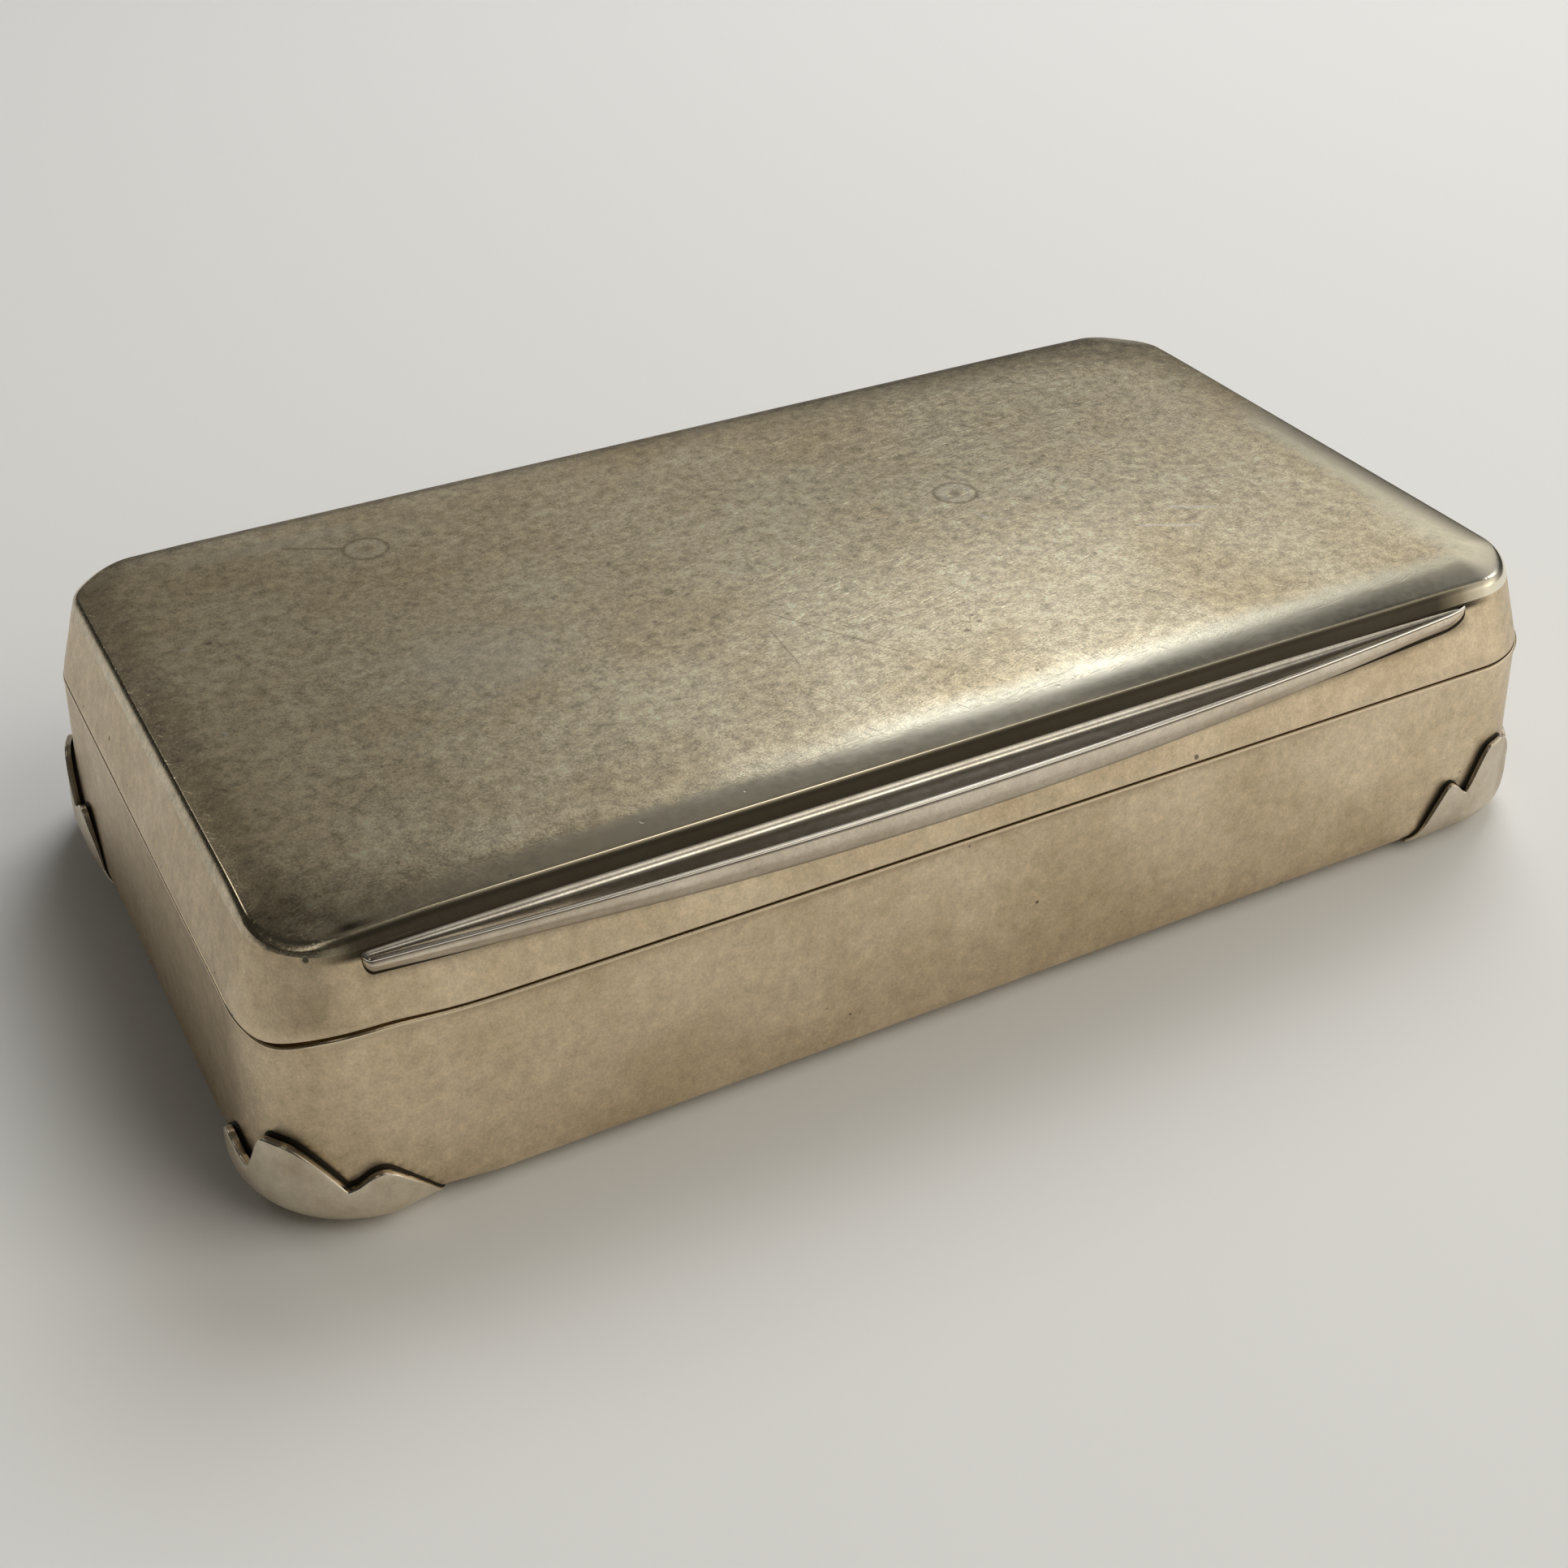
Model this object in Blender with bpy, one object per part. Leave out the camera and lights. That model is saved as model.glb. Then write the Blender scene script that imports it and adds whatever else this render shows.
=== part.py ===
"""Rectangular silver snuff box with a hinged lid.

Metres, +Z up. The box stands on its four scalloped corner mounts at z = 0 and is centred
on the origin, with its length along X, the crescent thumbpiece at the front (-Y) and the
five-knuckle hinge at the back (+Y). Skins are given as (outset, height) pairs, where the
outset is measured in plan from the outline that box and lid share at the seam.
"""
from math import acos, asin, atan, cos, pi, radians, sin, sqrt

import bmesh
import bpy
from mathutils import Vector

MM = 0.001

# Outline at the seam between box and lid, seen from above
LENGTH = 88.0 * MM
WIDTH = 48.4 * MM
CORNER_RADIUS = 6.2 * MM
CORNER_STEPS = 8

# Heights and the slopes of the walls
SOLE_GAUGE = 0.4 * MM          # worn thickness of a corner mount under the base
BODY_DEPTH = 12.5 * MM         # underside of the base to the seam
LID_DEPTH = 6.05 * MM          # seam to the middle of the lid
BODY_FLARE = 0.8 * MM          # the walls spread by this much from seam to underside
LID_LEAN = 1.4 * MM            # the lid's walls draw in by this much up to the arris

# Sheet gauges and the clearances between pieces
WALL = 0.8 * MM
PLATE_GAUGE = 0.7 * MM
LID_GAUGE = 0.75 * MM
BEZEL_GAUGE = 0.5 * MM
BEARER_GAUGE = 0.55 * MM
MOUNT_GAUGE = 0.65 * MM
SEAM_GAP = 0.14 * MM
SOLDER_GAP = 0.1 * MM          # soldered sheets stand this far apart
SEAT_GAP = 0.3 * MM            # cut edges round the hinge and the bezel
CUT_OVERRUN = 1.0 * MM

# Base: rounded lower edge and the lip that carries the base plate
INNER_EDGE_RADIUS = 0.7 * MM
LIP_REACH = 1.6 * MM
EDGE_STEPS = 5

# Bezel, the inner rim at the front and sides that the lid closes over
BEZEL_DEPTH = 2.8 * MM
BEZEL_RISE = 1.3 * MM
BEZEL_BACK_MARGIN = 2.0 * MM

# Lid top: polished border, arris and crown
INNER_ARRIS_RADIUS = 0.3 * MM
BORDER_WIDTH = 3.8 * MM
BORDER_DROP = 0.3 * MM
CROWN_RISE = 0.08 * MM
JOIN_HEIGHT = 4.5 * MM         # joint between lid band and lid top, above the seam
ARRIS_STEPS = 5
BORDER_MID_SHARE = 0.5
BORDER_SWELL_SHARE = 0.62
CROWN_RING_SHARES = ((0.35, 0.55), (0.7, 0.9))
CROWN_CORNER_SHARE = 0.35

# Hinge: barrel of five knuckles on the back edge of the seam
HINGE_MARGIN = 2.8 * MM
BARREL_RADIUS = 1.2 * MM
PIN_RADIUS = 0.55 * MM
PIN_CLEARANCE = 0.08 * MM
KNUCKLE_GAP = 0.15 * MM
RUNNING_GAP = 0.3 * MM
PLUG_LENGTH = 0.9 * MM
PLUG_DOME_SHARES = ((1.0, 0.0), (0.97, 0.45), (0.82, 0.78), (0.5, 1.0))
KNUCKLE_COUNT = 5
ROUND_STEPS = 24
BEARER_STEPS = 12
REBATE_STEPS = 48
BODY_LIP_ANGLE = radians(-50.0)
LID_LIP_ANGLE = radians(65.0)

# Thumbpiece, a crescent ledge under the lid's front arris
THUMB_INSET = 6.7 * MM
THUMB_SHIFT = -1.05 * MM         # it was soldered on a little left of the middle
THUMB_SHELF = 4.25 * MM
THUMB_CREST = 0.14 * MM
THUMB_COVE = 0.45 * MM
THUMB_LEFT_REACH = 0.8 * MM
THUMB_RIGHT_REACH = 0.35 * MM
THUMB_BULGE = 1.72 * MM
THUMB_MIDDLE_FACE = 1.95 * MM
THUMB_TIP_FACE = 1.25 * MM
THUMB_EDGE = 0.12 * MM
THUMB_TIP_ROUND = 0.7 * MM
THUMB_TIP_SHARE = 0.45
THUMB_STATIONS = 24
COVE_LIMIT_SHARE = 0.5
COVE_SHARES = ((0.0, 1.0), (0.12, 0.5), (0.45, 0.12), (1.0, 0.0))

# Corner mounts: a tall lobe on the corner, a notch and a low lobe on each side of it
LOBE_HALF = 2.95 * MM
LOBE_TOP = 6.4 * MM
NOTCH_TOP = 3.55 * MM
SIDE_LOBE_AT = 5.1 * MM
SIDE_LOBE_TOP = 4.45 * MM
MOUNT_REACH = 8.9 * MM
MOUNT_TIP_TOP = 1.6 * MM
SOLE_REACH = 1.4 * MM
MOUNT_CHAMFER = 0.14 * MM
LOBE_FULLNESS = 0.7
LOBE_STEPS = 12
SIDE_STEPS = 3
TAIL_STEPS = 5
MOUNT_EDGE_SHARES = (0.0, 0.25, 0.5, 0.75, 1.0)
MOUNT_WALL_SHARES = (0.45,)
MOUNT_WALL_MARGIN = 0.25 * MM
FRONT_RIGHT_SLIP = 2.9 * MM    # hand-cut mounts sit a little to one side of their corner
BACK_LEFT_SLIP = -3.0 * MM
BACK_RIGHT_SLIP = 1.5 * MM
MOUNTS = {
    "corner_mount_front_left": (-1, -1, 0.0, 1.0),
    "corner_mount_front_right": (1, -1, FRONT_RIGHT_SLIP, 1.1),
    "corner_mount_back_left": (-1, 1, BACK_LEFT_SLIP, 1.15),
    "corner_mount_back_right": (1, 1, BACK_RIGHT_SLIP, 1.05),
}

# Sizes that follow from the ones above
HALF_LENGTH = LENGTH / 2
HALF_WIDTH = WIDTH / 2
BASE_LIFT = SOLE_GAUGE + SOLDER_GAP
SEAM_HEIGHT = BASE_LIFT + BODY_DEPTH
FLARE_SLOPE = BODY_FLARE / BODY_DEPTH
FLARE_ANGLE = atan(FLARE_SLOPE)
EDGE_RADIUS = INNER_EDGE_RADIUS + WALL
EDGE_HEIGHT = BASE_LIFT + EDGE_RADIUS
EDGE_TURN = pi / 2 + FLARE_ANGLE
EDGE_LENGTH = EDGE_TURN * EDGE_RADIUS
ARRIS_RADIUS = INNER_ARRIS_RADIUS + LID_GAUGE
ARRIS_TOP = SEAM_HEIGHT + LID_DEPTH - CROWN_RISE - BORDER_DROP
ARRIS_HEIGHT = ARRIS_TOP - ARRIS_RADIUS
LEAN_SLOPE = LID_LEAN / (ARRIS_HEIGHT - SEAM_HEIGHT)
LEAN_ANGLE = atan(LEAN_SLOPE)
BORDER_ANGLE = atan(BORDER_DROP / BORDER_WIDTH)
BARREL_LENGTH = LENGTH - 2 * (CORNER_RADIUS + HINGE_MARGIN)
BEARER_INNER = BARREL_RADIUS + RUNNING_GAP
BEARER_OUTER = BEARER_INNER + BEARER_GAUGE
REBATE_RADIUS = BEARER_OUTER + SEAT_GAP
HINGE_AXIS = Vector((0.0, HALF_WIDTH, SEAM_HEIGHT))

SMOOTH_ANGLE = radians(35.0)

# Colour, metallic and roughness of each finish
FINISHES = {
    "worn_silver": ((0.56, 0.50, 0.41), 1.0, 0.42),
    "polished_silver": ((0.70, 0.67, 0.61), 1.0, 0.20),
    "gilt_silver": ((0.72, 0.56, 0.30), 1.0, 0.32),
    "hinge_silver": ((0.60, 0.56, 0.50), 1.0, 0.30),
}


def clear_scene():
    """Remove whatever a new file starts with"""
    for thing in list(bpy.data.objects):
        bpy.data.objects.remove(thing, do_unlink=True)


def finish_material(name, finish):
    """A piece's own Principled material in one of the box's finishes"""
    colour, metallic, roughness = FINISHES[finish]
    material = bpy.data.materials.new(name)
    material.use_nodes = True
    shader = material.node_tree.nodes["Principled BSDF"]
    shader.inputs["Base Color"].default_value = (*colour, 1.0)
    shader.inputs["Metallic"].default_value = metallic
    shader.inputs["Roughness"].default_value = roughness
    material.diffuse_color = (*colour, 1.0)
    return material


def add_piece(name, bm, finish):
    """Turn a closed bmesh into a named, smooth-shaded object"""
    bmesh.ops.recalc_face_normals(bm, faces=bm.faces)
    mesh = bpy.data.meshes.new(name)
    bm.to_mesh(mesh)
    bm.free()
    mesh.shade_smooth()
    mesh.set_sharp_from_angle(angle=SMOOTH_ANGLE)
    mesh.materials.append(finish_material(name, finish))
    piece = bpy.data.objects.new(name, mesh)
    bpy.context.collection.objects.link(piece)
    return piece


def loft(name, loops, finish, ring=False):
    """Skin closed loops one after another, joined into a ring or capped at both ends"""
    bm = bmesh.new()
    rows = [[bm.verts.new(point) for point in loop] for loop in loops]
    count = len(rows[0])
    pairs = list(zip(rows, rows[1:]))
    if ring:
        pairs.append((rows[-1], rows[0]))
    for near, far in pairs:
        for k in range(count):
            nxt = (k + 1) % count
            bm.faces.new((near[k], near[nxt], far[nxt], far[k]))
    if not ring:
        bm.faces.new(rows[0])
        bm.faces.new(rows[-1])
    return add_piece(name, bm, finish)


def sheet(name, columns, finish):
    """A curved sheet from columns of (outer point, inner point) pairs"""
    bm = bmesh.new()
    grid = [[tuple(bm.verts.new(point) for point in pair) for pair in column] for column in columns]
    for left, right in zip(grid, grid[1:]):
        for side in (0, 1):
            for k in range(len(left) - 1):
                bm.faces.new((left[k][side], right[k][side], right[k + 1][side], left[k + 1][side]))
        for k in (0, -1):
            bm.faces.new((left[k][0], right[k][0], right[k][1], left[k][1]))
    for column in (grid[0], grid[-1]):
        for low, high in zip(column, column[1:]):
            bm.faces.new((low[0], high[0], high[1], low[1]))
    return add_piece(name, bm, finish)


def corner_arc(sign_x, sign_y, outset, radius):
    """Plan points of one rounded corner, from the short wall round to the long one"""
    centre_x = HALF_LENGTH + outset - radius
    centre_y = HALF_WIDTH + outset - radius
    angles = [pi / 2 * k / CORNER_STEPS for k in range(CORNER_STEPS + 1)]
    return [(sign_x * (centre_x + radius * cos(a)), sign_y * (centre_y + radius * sin(a))) for a in angles]


def outline(outset, height):
    """The box's rounded rectangle in plan, drawn at an outset from the seam outline"""
    radius = max(CORNER_RADIUS + outset, CORNER_RADIUS * CROWN_CORNER_SHARE)
    plan = corner_arc(1, 1, outset, radius)
    plan += reversed(corner_arc(-1, 1, outset, radius))
    plan += corner_arc(-1, -1, outset, radius)
    plan += reversed(corner_arc(1, -1, outset, radius))
    return [Vector((x, y, height)) for x, y in plan]


def wall_outset(height):
    """Outer face of the box's flared wall"""
    return FLARE_SLOPE * (SEAM_HEIGHT - height)


def lid_outset(height):
    """Outer face of the lid's leaning wall"""
    return -LEAN_SLOPE * (height - SEAM_HEIGHT)


EDGE_OUTSET = wall_outset(EDGE_HEIGHT) - EDGE_RADIUS / cos(FLARE_ANGLE)
ARRIS_OUTSET = lid_outset(ARRIS_HEIGHT) - ARRIS_RADIUS / cos(LEAN_ANGLE)


def skin_point(travel, offset):
    """(outset, height) on the box's skin, moved out by an offset

    The travel runs up the skin from where the underside turns into the rounded edge.
    """
    if travel <= 0:
        return EDGE_OUTSET + travel, BASE_LIFT - offset
    reach = EDGE_RADIUS + offset
    turn = min(travel / EDGE_RADIUS, EDGE_TURN)
    climb = max(travel - EDGE_LENGTH, 0.0)
    outset = EDGE_OUTSET + reach * sin(turn) - climb * sin(FLARE_ANGLE)
    return outset, EDGE_HEIGHT - reach * cos(turn) + climb * cos(FLARE_ANGLE)


def skin_travel(height):
    """Travel up the box's skin at which its outer face reaches a height"""
    turn_top = EDGE_HEIGHT - EDGE_RADIUS * cos(EDGE_TURN)
    if height >= turn_top:
        return EDGE_LENGTH + (height - turn_top) / cos(FLARE_ANGLE)
    return EDGE_RADIUS * (pi / 2 - asin((EDGE_HEIGHT - height) / EDGE_RADIUS))


def hinge_cutter():
    """Cylinder round the hinge axis that opens both back walls for barrel and bearers"""
    length = BARREL_LENGTH + 2 * (KNUCKLE_GAP + PLUG_LENGTH + SEAT_GAP)
    bm = bmesh.new()
    bmesh.ops.create_cone(
        bm, cap_ends=True, segments=REBATE_STEPS, radius1=REBATE_RADIUS, radius2=REBATE_RADIUS, depth=length
    )
    cutter = add_piece("hinge_cutter", bm, "worn_silver")
    cutter.rotation_euler = (0.0, pi / 2, 0.0)
    cutter.location = HINGE_AXIS
    cutter.hide_render = True
    cutter.display_type = "WIRE"
    return cutter


def cut_with(piece, cutter):
    """Take a cutter's volume out of a piece"""
    cut = piece.modifiers.new("hinge_rebate", "BOOLEAN")
    cut.operation = "DIFFERENCE"
    cut.solver = "EXACT"
    cut.object = cutter


def base_band(cutter):
    """Side wall of the box, one sheet with a rounded lower edge and an inturned lip"""
    travels = [-LIP_REACH, 0.0]
    travels += [EDGE_LENGTH * (k + 1) / EDGE_STEPS for k in range(EDGE_STEPS)]
    travels.append(skin_travel(SEAM_HEIGHT - SEAM_GAP / 2))
    profile = [skin_point(travel, 0.0) for travel in travels]
    profile += [skin_point(travel, -WALL) for travel in reversed(travels)]
    band = loft("base_band", [outline(*point) for point in profile], "worn_silver", ring=True)
    cut_with(band, cutter)
    return band


def base_plate():
    """Flat bottom of the compartment, laid inside on the band's lip"""
    low = BASE_LIFT + WALL + SOLDER_GAP
    high = low + PLATE_GAUGE
    return loft("base_plate", [outline(EDGE_OUTSET, low), outline(EDGE_OUTSET, high)], "gilt_silver")


def bezel_strip():
    """Inner rim on three sides, leaning with the lid's wall where it stands above the seam"""
    outer = -max(WALL / cos(FLARE_ANGLE), LID_GAUGE / cos(LEAN_ANGLE)) - SEAT_GAP
    top = outer - LEAN_SLOPE * BEZEL_RISE
    profile = [
        (outer, SEAM_HEIGHT - BEZEL_DEPTH),
        (outer, SEAM_HEIGHT),
        (top, SEAM_HEIGHT + BEZEL_RISE),
    ]
    back_y = HALF_WIDTH - CORNER_RADIUS - BEZEL_BACK_MARGIN

    def rail(outset):
        radius = CORNER_RADIUS + outset
        left = corner_arc(-1, -1, outset, radius)
        right = list(reversed(corner_arc(1, -1, outset, radius)))
        return [(-HALF_LENGTH - outset, back_y)] + left + right + [(HALF_LENGTH + outset, back_y)]

    rows = []
    for outset, height in profile:
        outer_rail = [Vector((x, y, height)) for x, y in rail(outset)]
        inner_rail = [Vector((x, y, height)) for x, y in rail(outset - BEZEL_GAUGE)]
        rows.append(list(zip(outer_rail, inner_rail)))
    return sheet("bezel_strip", rows, "gilt_silver")


def mount_top(along):
    """Height of a corner mount's scalloped edge, by the distance from its middle"""
    distance = abs(along)
    if distance <= LOBE_HALF:
        rise = max(cos(pi / 2 * distance / LOBE_HALF), 0.0) ** LOBE_FULLNESS
        return NOTCH_TOP + (LOBE_TOP - NOTCH_TOP) * rise
    if distance <= SIDE_LOBE_AT:
        rise = sin(pi / 2 * (distance - LOBE_HALF) / (SIDE_LOBE_AT - LOBE_HALF))
        return NOTCH_TOP + (SIDE_LOBE_TOP - NOTCH_TOP) * rise
    fall = cos(pi / 2 * (distance - SIDE_LOBE_AT) / (MOUNT_REACH - SIDE_LOBE_AT))
    return MOUNT_TIP_TOP + (SIDE_LOBE_TOP - MOUNT_TIP_TOP) * max(fall, 0.0)


def mount_stations():
    """Distances along a mount at which its section is drawn, closest round lobes and tips"""
    tail = MOUNT_REACH - SIDE_LOBE_AT
    falls = [acos(1 - (k + 1) / TAIL_STEPS) / (pi / 2) for k in range(TAIL_STEPS)]
    half = [LOBE_HALF * (k + 1) / (LOBE_STEPS / 2) for k in range(LOBE_STEPS // 2)]
    half += [LOBE_HALF + (SIDE_LOBE_AT - LOBE_HALF) * (k + 1) / SIDE_STEPS for k in range(SIDE_STEPS)]
    half += [SIDE_LOBE_AT + tail * fall for fall in falls]
    return [-distance for distance in reversed(half)] + [0.0] + half


def corner_point(sign_x, sign_y, along, outset, height):
    """Point on a corner, by distance along the wall from the corner's middle

    Positive distances run along the long wall, negative ones along the short wall.
    """
    wrap_radius = CORNER_RADIUS + wall_outset(EDGE_HEIGHT)
    quarter = wrap_radius * pi / 4
    radius = CORNER_RADIUS + outset
    turn = pi / 4 + min(max(along, -quarter), quarter) / wrap_radius
    x = HALF_LENGTH - CORNER_RADIUS + radius * cos(turn) - max(along - quarter, 0.0)
    y = HALF_WIDTH - CORNER_RADIUS + radius * sin(turn) - max(-along - quarter, 0.0)
    return Vector((sign_x * x, sign_y * y, height))


def corner_mount(name, sign_x, sign_y, slip, rise_share):
    """Scalloped sheet wrapped round a bottom corner and under it, where it is worn flat"""
    columns = []
    for station in mount_stations():
        top = skin_travel(MOUNT_TIP_TOP + (mount_top(station) - MOUNT_TIP_TOP) * rise_share)
        edge = min(EDGE_LENGTH, top - MOUNT_WALL_MARGIN)
        travels = [-SOLE_REACH] + [edge * share for share in MOUNT_EDGE_SHARES]
        travels += [edge + (top - edge) * share for share in MOUNT_WALL_SHARES]
        travels += [top - MOUNT_CHAMFER, top]
        column = []
        for travel in travels:
            offset = SOLDER_GAP + MOUNT_GAUGE
            if travel == top:
                offset -= MOUNT_CHAMFER
            outset, height = skin_point(travel, offset)
            outer = corner_point(sign_x, sign_y, station + slip, outset, max(height, 0.0))
            inner = corner_point(sign_x, sign_y, station + slip, *skin_point(travel, SOLDER_GAP))
            column.append((outer, inner))
        columns.append(column)
    return sheet(name, columns, "worn_silver")


def lid_band(cutter):
    """Leaning side wall of the lid"""
    low = SEAM_HEIGHT + SEAM_GAP / 2
    high = SEAM_HEIGHT + JOIN_HEIGHT - SOLDER_GAP / 2
    gauge = LID_GAUGE / cos(LEAN_ANGLE)
    profile = [
        (lid_outset(low), low),
        (lid_outset(high), high),
        (lid_outset(high) - gauge, high),
        (lid_outset(low) - gauge, low),
    ]
    band = loft("lid_band", [outline(*point) for point in profile], "worn_silver", ring=True)
    cut_with(band, cutter)
    return band


def lid_skin(offset):
    """Section of the lid's top from its lower rim over the arris and border to the crown"""
    rim = SEAM_HEIGHT + JOIN_HEIGHT + SOLDER_GAP / 2
    points = [(lid_outset(rim) + offset / cos(LEAN_ANGLE), rim)]
    radius = ARRIS_RADIUS + offset
    turns = [LEAN_ANGLE + (pi / 2 - BORDER_ANGLE - LEAN_ANGLE) * k / ARRIS_STEPS for k in range(ARRIS_STEPS + 1)]
    points += [(ARRIS_OUTSET + radius * cos(turn), ARRIS_HEIGHT + radius * sin(turn)) for turn in turns]
    border_top = ARRIS_TOP + BORDER_DROP + offset
    middle = BORDER_WIDTH * BORDER_MID_SHARE
    points.append((ARRIS_OUTSET - middle, ARRIS_TOP + offset + BORDER_DROP * BORDER_SWELL_SHARE))
    points.append((ARRIS_OUTSET - BORDER_WIDTH, border_top))
    inward = HALF_WIDTH + ARRIS_OUTSET - BORDER_WIDTH
    for reach, rise in CROWN_RING_SHARES:
        points.append((ARRIS_OUTSET - BORDER_WIDTH - inward * reach, border_top + CROWN_RISE * rise))
    return points


def lid_top():
    """Pressed top of the lid: crowned plate, polished border and rounded arris in one sheet"""
    profile = list(reversed(lid_skin(0.0))) + lid_skin(-LID_GAUGE)
    return loft("lid_top", [outline(*point) for point in profile], "worn_silver")


def thumb_section(x, half):
    """Section of the thumbpiece at x, as points in the YZ plane"""
    share = x / half
    swell = 1 - share * share
    reach = THUMB_LEFT_REACH + (THUMB_RIGHT_REACH - THUMB_LEFT_REACH) * (1 + share) / 2
    reach += THUMB_BULGE * swell
    face = THUMB_TIP_FACE + (THUMB_MIDDLE_FACE - THUMB_TIP_FACE) * swell
    into_tip = max(abs(x) - (half - THUMB_TIP_ROUND), 0.0) / THUMB_TIP_ROUND
    roundness = THUMB_TIP_SHARE + (1 - THUMB_TIP_SHARE) * sqrt(max(1 - into_tip ** 2, 0.0))
    reach *= roundness
    shelf = SEAM_HEIGHT + THUMB_SHELF
    crest = shelf + THUMB_CREST
    low = crest - face * roundness
    front = lid_outset(crest) + reach
    cove = min(THUMB_COVE, reach * COVE_LIMIT_SHARE)
    edge = min(THUMB_EDGE, reach * COVE_LIMIT_SHARE / 2)
    points = []
    for out_share, rise_share in COVE_SHARES:
        height = shelf + cove * rise_share
        points.append((lid_outset(height) + SOLDER_GAP + cove * out_share, height))
    points.append((front - edge, crest))
    points.append((front, crest - edge))
    points.append((front, low + edge))
    points.append((front - edge, low))
    points.append((lid_outset(low) + SOLDER_GAP, low))
    return [Vector((x + THUMB_SHIFT, -HALF_WIDTH - outset, height)) for outset, height in points]


def thumbpiece():
    """Crescent ledge for the thumb, drawn out from the lid's front wall"""
    half = HALF_LENGTH - THUMB_INSET
    inner = half - THUMB_TIP_ROUND
    stations = [-inner + 2 * inner * k / THUMB_STATIONS for k in range(THUMB_STATIONS + 1)]
    tips = [inner + THUMB_TIP_ROUND * sin(pi / 2 * k / 3) for k in (1, 2, 3)]
    stations = [-tip for tip in reversed(tips)] + stations + tips
    return loft("thumbpiece", [thumb_section(x, half) for x in stations], "polished_silver")


def hinge_circle(x, radius):
    """Circle round the hinge axis in the plane at x"""
    turns = [2 * pi * k / ROUND_STEPS for k in range(ROUND_STEPS)]
    return [HINGE_AXIS + Vector((x, radius * cos(a), radius * sin(a))) for a in turns]


def hinge_bearer(name, start, end):
    """Cove strip along the barrel, between two angles round the hinge axis"""
    half = BARREL_LENGTH / 2
    rows = []
    for k in range(BEARER_STEPS + 1):
        angle = start + (end - start) * k / BEARER_STEPS
        ray = Vector((0.0, cos(angle), sin(angle)))
        side = Vector((half, 0.0, 0.0))
        outer = HINGE_AXIS + ray * BEARER_OUTER
        inner = HINGE_AXIS + ray * BEARER_INNER
        rows.append([outer - side, outer + side, inner + side, inner - side])
    return loft(name, rows, "hinge_silver")


def knuckle(name, index):
    """One tube of the barrel, counted from the left end"""
    pitch = BARREL_LENGTH / KNUCKLE_COUNT
    start = -BARREL_LENGTH / 2 + pitch * index + KNUCKLE_GAP / 2
    end = start + pitch - KNUCKLE_GAP
    bore = PIN_RADIUS + PIN_CLEARANCE
    loops = [
        hinge_circle(start, BARREL_RADIUS),
        hinge_circle(end, BARREL_RADIUS),
        hinge_circle(end, bore),
        hinge_circle(start, bore),
    ]
    return loft(name, loops, "hinge_silver", ring=True)


def hinge_pin():
    """Steel-hard wire that the knuckles turn on"""
    half = (BARREL_LENGTH - KNUCKLE_GAP) / 2
    loops = [hinge_circle(x, PIN_RADIUS) for x in (-half, half)]
    return loft("hinge_pin", loops, "hinge_silver")


def hinge_plug(name, side):
    """Domed button that closes an end of the barrel over the pin"""
    start = BARREL_LENGTH / 2 + KNUCKLE_GAP
    loops = [hinge_circle(side * start, BARREL_RADIUS)]
    dome = PLUG_LENGTH / 2
    for radius_share, length_share in PLUG_DOME_SHARES:
        x = side * (start + dome + dome * length_share)
        loops.append(hinge_circle(x, BARREL_RADIUS * radius_share))
    return loft(name, loops, "hinge_silver")


def hang_on_hinge(pieces):
    """Parent the lid's pieces to an empty on the hinge axis, which turns about -X to open"""
    axis = bpy.data.objects.new("lid_hinge_axis", None)
    axis.location = HINGE_AXIS
    bpy.context.collection.objects.link(axis)
    for piece in pieces:
        piece.parent = axis
        piece.location = -HINGE_AXIS


clear_scene()
rebate = hinge_cutter()

base_band(rebate)
base_plate()
bezel_strip()
for mount_name, (side_x, side_y, mount_slip, mount_rise) in MOUNTS.items():
    corner_mount(mount_name, side_x, side_y, mount_slip, mount_rise)

seam_angle = asin(SEAM_GAP / 2 / BEARER_INNER)
hinge_bearer("body_hinge_bearer", -pi + seam_angle, BODY_LIP_ANGLE)
knuckle("body_knuckle_left", 0)
knuckle("body_knuckle_centre", 2)
knuckle("body_knuckle_right", 4)
hinge_pin()
hinge_plug("hinge_plug_left", -1)
hinge_plug("hinge_plug_right", 1)

hang_on_hinge([
    lid_band(rebate),
    lid_top(),
    thumbpiece(),
    hinge_bearer("lid_hinge_bearer", pi - seam_angle, LID_LIP_ANGLE),
    knuckle("lid_knuckle_left", 1),
    knuckle("lid_knuckle_right", 3),
])
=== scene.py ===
from math import asin, atan, cos, pi, radians, sin, sqrt, tan

import bmesh
import bpy
import numpy as np
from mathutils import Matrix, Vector
from mathutils.kdtree import KDTree


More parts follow.
